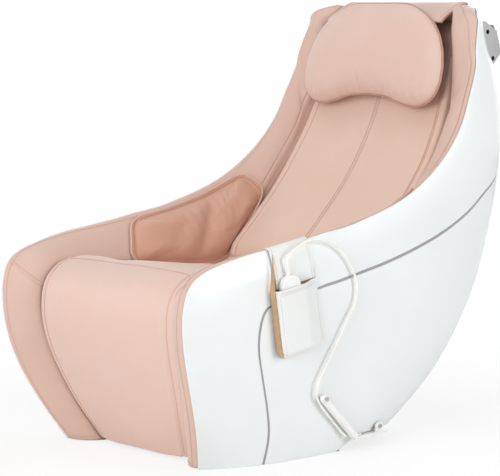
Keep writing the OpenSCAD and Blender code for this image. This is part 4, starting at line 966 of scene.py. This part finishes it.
us, sl = linspace(-1, 1, 60), linspace(0, 5, 26)
make("strap_leather", between(*[grid(lambda s, u: strap_point(u, s, h)[0], sl, us) for h in (0, -STRAP_T)]),
     "pillow", M_LEATHER, "leather_pink", "pillow_strap", 0.7, (0.0015,), sharp=60)
hem = tube([(x, STRAP_Y, STRAP_Z) for x in linspace(-STRAP_W / 2, STRAP_W / 2, 50)], HEM_R, 20)
make("strap_hem", hem, "pillow", M_PIPING, "leather_pink")
hems = [tube([strap_point(side, s, -SIDE_HEM_R)[0] for s in linspace(0.12, 5, 40)], SIDE_HEM_R, 14)
        for side in (-1, 1)]
make("strap_side_hems", merge(*hems), "pillow", M_HEM_SHADE, "leather_pink")
inside = 1 - 9 / (STRAP_W / 2)
sew = [stitches([strap_point(side * inside, s) for s in linspace(0.2, 4.8, 50)]) for side in (-1, 1)]
make("strap_stitching", merge(*sew), "pillow", M_THREAD, "leather_pink", double=0)

PILLOW_AT = vec(0, REAR - 184, over_arm(0.774))
LEAN = 78
SHAPE = [(0, 0.97), (0.4, 0.95), (0.66, 0.76), (0.84, 0.48), (0.95, 0.12), (1, -0.3), (0.98, -0.68),
         (0.89, -0.92), (0.72, -1.03), (0.5, -0.98), (0.27, -0.86), (0, -0.82)]
AROUND = 320                        # points round the rim


def pillow_rim(i):
    side, k = (-1, i) if i <= AROUND / 2 else (1, AROUND - i)
    x, y = spline(SHAPE, k * (len(SHAPE) - 1) / (AROUND / 2))
    return x * side * PILLOW_W / 2, y * PILLOW_L / 2


PILLOW_RIM = [pillow_rim(i) for i in range(AROUND)]


def pillow_height(x, y, f, share):
    h = share * PILLOW_T * max(0, 1 - f ** 2.8) ** 0.5
    if share < 0:
        return h
    low = ease((-y - 10) / 90)
    crease = 7 * bump(x + 22 + 0.25 * (y + 60), 3) * low ** 2 * max(0, 1 - f ** 9)
    gather = 2.3 * sin(x * 0.27 + 3 * fold(vec(x, y, 0), 0.02, 6)) * low * f ** 3 * max(0, 1 - f ** 8)
    return h - crease + gather + 2.2 * fold(vec(x, y, 0), 0.012, 15) * max(0, 1 - f ** 4)


def pillow_ring(f, share):
    return [(x * f, y * f, pillow_height(x * f, y * f, f, share)) for x, y in PILLOW_RIM]


rings = [pillow_ring(f, -0.46) for f in (0.05, 0.2, 0.4, 0.6, 0.75, 0.87, 0.95, 0.985)] + [pillow_ring(1, 0)]
rings += [pillow_ring(1 - 0.95 * (k / 44) ** 1.5, 0.54) for k in range(2, 45)]
make("pillow_leather", turned(loft(rings), LEAN, PILLOW_AT), "pillow", M_LEATHER, "leather_pink",
     "head_pillow", 0.9)
line = [(x * 1.003, y * 1.003, 0.5 * sin(i * 0.6)) for i, (x, y) in enumerate(PILLOW_RIM)]
piping = tube(line, 2.6, closed=True)
make("pillow_piping", turned(piping, LEAN, PILLOW_AT), "pillow", M_HEM_SHADE, "leather_pink")

# ---- calf cover
COVER_LINE = [(y - NOSE, z) for y, z in ((147, COVER_LIFT), (105, 85), (70, 167), (47, 234), (36, 298))]
COVER_LINE += [(y - NOSE, SEAT_H + z) for y, z in ((41, -62), (58, -29), (88, -5), (118, 5), (142, 7))]
COVER_END = len(COVER_LINE) - 1
COVER_BOW = 12


def cover_half(z):
    return mix(COVER_LOW, COVER_W, 1 - max(0, 1 - z / 300) ** 2) / 2


@functools.cache
def cover_at(s):
    p, n = line_at(COVER_LINE, s)
    return vec(0, *p), -vec(0, *n)


def cover_point(u, s, h=0.0, bow=COVER_BOW * 0.7, detail=True):
    p, n = cover_at(s)
    w = cover_half(p[2])
    x = u * w
    if detail:
        edge = w - abs(x)
        h = h - 1.7 * bump(edge - 19, 2.0) + 0.9 * bump(edge - 26, 5)
        h += 1.6 * fold(vec(x, p[1], p[2]), 0.011, 21) * (1 - abs(u) ** 6)
        h += 1.1 * fold(vec(x * 0.3, p[1], p[2]), 0.045, 4) * ease((s - 4) / 2) * (1 - abs(u) ** 8)
        h += 2.2 * sin(x * 0.034 + 0.6) * ease((s - 7.9) / 0.8) * (1 - abs(u) ** 6)
        h -= 1.8 * bump((s - 7.75) * 30, 2.4)
    return vec(x, p[1], p[2]) + n * (h - bow * abs(u) ** 5), n


us = spans((-1, -0.84, 14), (-0.82, 0.82, 46), (0.84, 1, 14))
sc = spans((0, 0.5, 14), (0.56, 7.4, 96), (7.45, 8.05, 16), (8.1, COVER_END, 14))
make("cover_leather", sheet(*[grid(lambda s, u: cover_point(u, s, *how)[0], sc, us)
                              for how in ((), (-COVER_T, COVER_BOW * 0.4, False))]),
     "cover", M_LEATHER, "leather_pink", "calf_cover", 0.7, (0.0035,), sharp=60)
sew = [stitches([cover_point(side * (1 - 15 / cover_half(cover_at(s)[0][2])), s)
                 for s in linspace(0.15, 8.6, 190)]) for side in (-1, 1)]
sew.append(stitches([cover_point(u, 7.63) for u in linspace(-0.93, 0.93, 120)]))
make("cover_stitching", merge(*sew), "cover", M_THREAD, "leather_pink", double=0)

# ---- calf wells and their airbags
WELL_TILT, WELL_H, WELL_RIB, WELL_WALL = 16.5, 300, 16, 12
WELL_AT = vec(0, 166 - NOSE, 12)


def well_section():
    """Half of the wells' outline in plan: rib, U-shaped hollow, outer wall."""
    r = 40
    x0, x1, back = WELL_RIB / 2, WELL_RIB / 2 + WELL_W, WELL_D + WELL_WALL
    deep, turn = WELL_D - r, pi / 2
    pts = [(0, 0), (x0 - 2, 0), (x0, 3)] + [(x0, y) for y in linspace(8, deep, 8)]
    pts += [(x0 + r - r * cos(a), deep + r * sin(a)) for a in linspace(0.1, turn, 10)]
    pts += [(x1 - r + r * sin(a), deep + r * cos(a)) for a in linspace(0, turn - 0.1, 10)]
    pts += [(x1, y) for y in linspace(deep, 8, 8)] + [(x1, 3), (x1 + 2, 0)]
    return pts + [(x1 + WELL_WALL - 2, 0), (x1 + WELL_WALL, 3), (x1 + WELL_WALL, back), (0, back)]


def well_ring(z, inset):
    ring = []
    for x, y in outline:
        soft = 0.8 * fold(vec(x, y, z), 0.03, 2) if 8 < y < WELL_D + 4 else 0
        ring.append((x * (1 - inset / 140), y + inset * (0.5 if y < 40 else -0.5) + soft, z))
    return ring


half = well_section()
outline = half + [(-x, y) for x, y in half[-2:0:-1]]
levels = [(0, 1.5), (1.5, 0)] + [(z, 0) for z in linspace(12, WELL_H - 12, 24)]
levels += [(WELL_H - 1.5, 0), (WELL_H, 1.5)]
verts, faces = loft([well_ring(z, inset) for z, inset in levels], False)
m = len(outline)
faces += [list(range(len(verts) - m, len(verts))), list(range(m))[::-1]]
make("well_leather", turned((verts, faces), WELL_TILT, WELL_AT), "chair", M_WELL_SHADE, "leather_fold",
     "calf_well", 0.8, sharp=50)


def pad_block(x, facing):
    """Small airbag: a crowned, round-cornered pad on the wall of a well."""
    def at(u, v, h):
        return (x + facing * h, 22 + u * 18 * (1 - 0.05 * v ** 8), WELL_H / 2 + v * 95 * (1 - 0.05 * u ** 8))

    def crowned(u, v):
        crown = 7 * max(0, (1 - u ** 4) * (1 - v ** 8)) ** 0.5
        return at(u, v, 2 + crown + 0.4 * fold(vec(u * 18, v * 95, x), 0.09, 3) * (1 - abs(u) ** 4))
    us, vs = linspace(-1, 1, 25), linspace(-1, 1, 49)
    return between(grid(crowned, us, vs), grid(lambda u, v: at(u, v, 0), us, vs))


bags = []
for side in (-1, 1):
    bags += [pad_block(side * WELL_RIB / 2, side), pad_block(side * (WELL_RIB / 2 + WELL_W), -side)]
make("well_airbags", turned(merge(*bags), WELL_TILT, WELL_AT), "chair", M_LEATHER, "leather_pink",
     "calf_airbags", 0.6)

# ---- pocket, handset and cord
TILT = 9
POCKET_AT = vec(CHAIR_W / 2 + 2, -187, ARM - 19)
MOUTH, REMOTE_Y, REMOTE_TOP = -84, -25, -58
REMOTE_X = 1 + SKIN + 0.3
DEEP = REMOTE_T + 2.5 + 2 * SKIN
LOW_R = 22


def pocket_edge(z):
    """Half width of the pocket's panel at a height, with its rounded lower corners."""
    d = z - (MOUTH - POCKET_L)
    if d >= LOW_R:
        return POCKET_W / 2
    return POCKET_W / 2 - LOW_R + sqrt(max(0, LOW_R ** 2 - (LOW_R - d) ** 2))


def front_shift(c):
    """The pouch's front edge bellies out past its seam on the shell."""
    return -11 * ease((0.2 - c) / 1.2)


def pocket_front(y, z):
    """How far the pocket's front stands out: boxed round the handset, flat at the rear."""
    half = POCKET_W / 2
    box_end = REMOTE_Y + REMOTE_W / 2 + 5
    if y < -half + 8:
        h = mix(DEEP - 7, DEEP, ease((y + half) / 8))
    elif y < box_end:
        h = DEEP + 0.6 * sin(pi * (y + half) / (box_end + half))
    else:
        h = mix(DEEP, 6, ease((y - box_end) / (half - box_end)) ** 0.8)
    fall = ease((z - (MOUTH - POCKET_L)) / 14)
    return mix(3.4, h, fall) + 0.6 * fold(vec(y, z, 1), 0.03, 5)


zs = np.concatenate([MOUTH - POCKET_L + LOW_R * (1 - np.cos(linspace(0.12, pi / 2, 14))),
                     linspace(MOUTH - POCKET_L + LOW_R + 5, MOUTH, 40)])
cols = linspace(-1, 1, 56)


def on_pocket(c, z, half=POCKET_W / 2):
    """Place on the pouch's front: c from its front edge (-1) to its rear edge (1)."""
    return pocket_front(c * POCKET_W / 2, z), c * half + front_shift(c), z


def pocket_sheet(depth):
    def place(z, c):
        x, y, _ = on_pocket(c, z, pocket_edge(z))
        x = mix(1.2, x - depth, ease((1 - abs(c)) / (0.05 if depth else 0.035)))
        return max(x, 1.2 - depth * 0.1), y * (0.99 if depth else 1), z
    return grid(place, zs, cols)


hanger_line = [(1, MOUTH + 2), (0.8, -60), (-2, -34), (-5, -14), (-8.5, -1), (-12, 2.2), (-17, 2.6)]
HANG_W = POCKET_W / 2 - 5


def hanger(u, s, h=0.0):
    (x, z), n = line_at(hanger_line, s)
    return (x + n[0] * h, u * HANG_W, z + n[1] * h), (n[0], 0, n[1])


def hung(name, data, *rest, body="chair", **kw):
    """A piece of the pocket or the handset, which hang tilted on the right arm."""
    return make(name, turned(data, TILT, POCKET_AT), body, *rest, **kw)


us, sl = linspace(-1, 1, 30), linspace(0, 6, 40)
pouch = merge(sheet(pocket_sheet(0), pocket_sheet(SKIN)),
              between(*[grid(lambda s, u: hanger(u, s, h)[0], sl, us) for h in (2.2, 0)]))
hung("pocket_leather", pouch, M_POCKET, "pocket_white", "remote_pocket", 0.5, (0.0007, 2), sharp=70)
mouth = []
for c in linspace(-1, 1, 60):
    x, y, _ = on_pocket(c, MOUTH)
    mouth.append((x - SKIN / 2 if abs(c) < 0.97 else 2.2, y, MOUTH))
hems = [tube(mouth, 1.7, 10)] + [tube([hanger(side, s, 1.1)[0] for s in sl], 1.6, 8) for side in (-1, 1)]
hung("pocket_hem", merge(*hems), M_POCKET, "pocket_white")
lines = [[(on_pocket(c, MOUTH - inset), (1, 0, 0)) for c in linspace(-0.9, 0.9, 60)] for inset in (5, 9)]
lines += [[(on_pocket(c, z, pocket_edge(z)), (1, 0, 0))
           for z in linspace(MOUTH - 12, MOUTH - POCKET_L + 9, 60)] for c in (-0.9, 0.9)]
lines += [[hanger(side * (1 - 5 / HANG_W), s, 2.2) for s in linspace(0.1, 5.8, 40)] for side in (-1, 1)]
sew = merge(*[stitches(line, 4, 2.8, 0.35) for line in lines])
hung("pocket_stitching", sew, M_THREAD_W, "pocket_white", double=0)

LINING_UP, CLOTH_T = 22, 0.8        # how far the lining shows above the pouch's mouth, and its thickness
rows = np.concatenate([zs, linspace(MOUTH + 2, MOUTH + LINING_UP, 5)])
panel = grid(lambda z, c: (0.9 + 0.15 * fold(vec(c * 50, z, 0), 0.05, 2), c * pocket_edge(z) * 0.985, z),
             rows, cols)
lining = hung("pocket_lining_cloth", sheet(panel, panel - vec(CLOTH_T, 0, 0)), M_LINING, "lining_tan",
              "pocket_lining")


def side_row(z):
    """Row of the cloth that closes the pouch's front side, from the shell outwards."""
    rise = clamp((z - MOUTH) / (-8 - MOUTH))
    y = -mix(pocket_edge(z), HANG_W, rise) + front_shift(-1) * (1 - rise) - 0.5
    deep = mix(pocket_front(-POCKET_W / 2 + 1, z) - 1.2, 1.5, rise)
    return [(x, y - 2.5 * (1 - x / max(deep, 1)) * (1 - rise), z) for x in linspace(0.9, deep, 7)]


panel = np.array([side_row(z) for z in np.concatenate([zs, linspace(MOUTH + 3, -8, 12)])])
hung("pocket_side_cloth", between(panel, panel + vec(0, CLOTH_T, 0)), M_LINING, "lining_tan")


def handset_ring(x, inset):
    """The handset's outline at a distance out from its back, drawn in by inset."""
    top_r, low_r = REMOTE_W / 2 - 3, 12
    top, low = REMOTE_W / 2 - top_r, REMOTE_W / 2 - low_r
    ring = []
    foot = low_r - REMOTE_L
    for y, z, r, start, count in ((top, -top_r, top_r, 0, 20), (-top, -top_r, top_r, 90, 20),
                                  (-low, foot, low_r, 180, 12), (low, foot, low_r, 270, 12)):
        for a in np.radians(linspace(start, start + 90, count)):
            ring.append((REMOTE_X + x, y + (r - inset) * cos(a) + REMOTE_Y,
                         z + (r - inset) * sin(a) + REMOTE_TOP))
    return ring


BACK_ROUND, FACE_ROUND = 4.5, 3
quarter = linspace(0, pi / 2, 7)
rings = [handset_ring(BACK_ROUND * (1 - sin(a)), BACK_ROUND * (1 - cos(a))) for a in quarter[::-1]]
rings += [handset_ring(REMOTE_T - FACE_ROUND * (1 - sin(a)), FACE_ROUND * (1 - cos(a)))
          for a in quarter]
rings += [handset_ring(REMOTE_T - sunk, FACE_ROUND + inset) for sunk, inset in ((0, 4), (0.5, 4.8), (0.5, 6))]
hung("handset", loft(rings), M_HANDSET, "handset_white", "remote_body", body="remote", sharp=60)


def circle(radius, count):
    """Points round a circle in a plane."""
    return [(radius * cos(t), radius * sin(t))
            for t in linspace(0, 2 * pi, count, endpoint=False)]


# Keys: place across and up the handset's face, and diameter.
KEYS = {"power": (0, -34, 13), "mode": (-13, -60, 10), "speed": (13, -60, 10), "up": (0, -80, 11),
        "down": (0, -98, 11)}
FACE = REMOTE_X + REMOTE_T
for key, (across, up, diameter) in KEYS.items():
    r = diameter / 2
    profile = [(-2.6, r * 0.9), (-0.4, r), (0.25, r), (0.6, r - 0.35), (0.75, r - 1), (0.6, r * 0.45),
               (0.55, r * 0.1)]
    verts, faces = loft([[(FACE + x, y, z) for y, z in circle(radius, 40)] for x, radius in profile])
    paint_of = (M_POWER, "key_red") if key == "power" else (M_KEY, "key_grey")
    cap = verts + vec(0, REMOTE_Y + across, REMOTE_TOP + up), faces
    hung(f"key_{key}_cap", cap, *paint_of, "key_" + key, body=key + "_key", sharp=60)

BOOT_L, BOOT_X = 16, REMOTE_X + REMOTE_T / 2
profile = [(-1.5, 4.9)]
for i in range(5):                  # the boot's ribs
    z, r = 1.6 + i * 3, 4.75 - i * 0.2
    profile += [(z, r - 0.7), (z + 0.4, r), (z + 1.3, r), (z + 1.7, r - 0.75)]
profile += [(BOOT_L, CORD_D / 2 + 0.9), (BOOT_L + 0.2, CORD_D / 2 + 0.2)]
verts, faces = loft([[(x, y, z) for x, y in circle(r, 32)] for z, r in profile])
hung("handset_boot", (verts + vec(BOOT_X, REMOTE_Y, REMOTE_TOP), faces), M_CORD, "cord_beige", "cord_boot",
     body="remote", sharp=50)

BOOT_END, _ = turned((vec(BOOT_X, REMOTE_Y, REMOTE_TOP + BOOT_L), None), TILT, POCKET_AT)
GLAND_AT = vec(side_half(36) + 0.6, 4, 36)
ROUTE = [BOOT_END + vec(0, 0, 0.3), BOOT_END + vec(0, -1.6, 10), (346, -206, 448), (346, -186, 463),
         (345, -158, 475), (344, -134, 480), (343, -106, 479), (342, -78, 471), (341, -50, 454),
         (340, -28, 431), (340, -8, 402),
         (340, 2, 377), (340, 2, 352), (340, -6, 327), (340, -28, 297), (339, -56, 252), (337, -78, 218),
         (334, -98, 183), (331, -105, 160), (328, -104, 140), (324, -88, 118), (317, -56, 88), (311, -24, 60),
         (309, -8, 45), GLAND_AT + vec(10, -0.6, 1), GLAND_AT + vec(5.3, 0, 0)]
path = resample([spline(ROUTE, s) for s in linspace(0, len(ROUTE) - 1, 200)], 3.0)
lead = make("handset_cord", tube(path, CORD_D / 2, 16), None, M_CORD, "cord_beige")
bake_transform(lead)
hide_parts("remote_cord")
round(float(run_length(path)[-1]) * MM, 3)

# ---- camera, floor and light
scene = bpy.context.scene
cam_data = bpy.data.cameras.new("camera")
camera = bpy.data.objects.new("camera", cam_data)
scene.collection.objects.link(camera)
cam_data.sensor_width, cam_data.lens = 36, 158.4
camera.location = (3.6747, -3.3087, 0.9671)
camera.rotation_mode = "QUATERNION"
camera.rotation_quaternion = (Vector((0, 0, 0.447)) - camera.location).to_track_quat("-Z", "Y")
cam_data.clip_start, cam_data.clip_end = 0.1, 60
scene.camera = camera

floor_mesh = bpy.data.meshes.new("floor")
floor_mesh.from_pydata([(-9, -9, 0), (9, -9, 0), (9, 9, 0), (-9, 9, 0)], [], [[0, 1, 2, 3]])
ground = bpy.data.objects.new("floor", floor_mesh)
ground.location.z = -0.0005
scene.collection.objects.link(ground)
m_floor = bpy.data.materials.new("floor_white")
m_floor.use_nodes = True
dress(m_floor, {"Base Color": (0.93, 0.93, 0.93, 1), "Roughness": 0.9})
t = m_floor.node_tree
# The camera sees the floor as white, but for a share of its own shading near the chair.
away = add(t, "VectorMath", {0: add(t, "TexCoord", {}, "Object")}, "Value", operation="LENGTH")
share = add(t, "MapRange", {"Value": away, "From Min": 0.5, "From Max": 1.5, "To Min": 0.8, "To Max": 1.0},
            interpolation_type="SMOOTHSTEP")
white = add(t, "Emission", {"Color": (1, 1, 1, 1), "Strength": 1})
seen = math_node(t, "MULTIPLY", add(t, "LightPath", {}, "Is Camera Ray"), share)
blend = add(t, "MixShader", {0: seen, 1: t.nodes["Principled BSDF"].outputs[0], 2: white})
t.links.new(blend, t.nodes["Material Output"].inputs["Surface"])
floor_mesh.materials.append(m_floor)

world = bpy.data.worlds.new("world")
scene.world = world
world.use_nodes = True
t = world.node_tree
rays = [add(t, "LightPath", {}, kind) for kind in ("Is Camera Ray", "Is Glossy Ray")]
seen = math_node(t, "MAXIMUM", *rays)
put(t, t.nodes["Background"], {"Strength": map_range(t, seen, 0.3, 1.0), "Color": (1, 1, 1, 1)})

# Lamps: place, what they point at, size and watts.
for name, at, target, size, watts in (
        ("key", (1.3, -3.6, 2.2), (0, 0, 0.5), (2.4, 2.0), 69),
        ("front", (0.5, -3.6, 0.7), (0, 0, 0.3), (2.6, 1.0), 20),
        ("top", (-0.6, -0.4, 3.6), (0, 0, 0.5), (2.6, 2.6), 32),
        ("side", (3.8, 1.5, 1.5), (0, 0, 0.5), (1.8, 2.4), 72),
        ("fill", (-2.6, -2.6, 1.3), (0, 0, 0.6), (1.6, 1.6), 12),
        ("rear", (-1.6, 3.8, 1.8), (0, 0, 0.5), (2.4, 2.0), 42)):
    data = bpy.data.lights.new(name, "AREA")
    data.shape, (data.size, data.size_y), data.energy = "RECTANGLE", size, watts
    lamp = bpy.data.objects.new(name, data)
    lamp.location = at
    lamp.rotation_mode = "QUATERNION"
    lamp.rotation_quaternion = (Vector(target) - Vector(at)).to_track_quat("-Z", "Y")
    scene.collection.objects.link(lamp)

scene.view_settings.view_transform = "Standard"
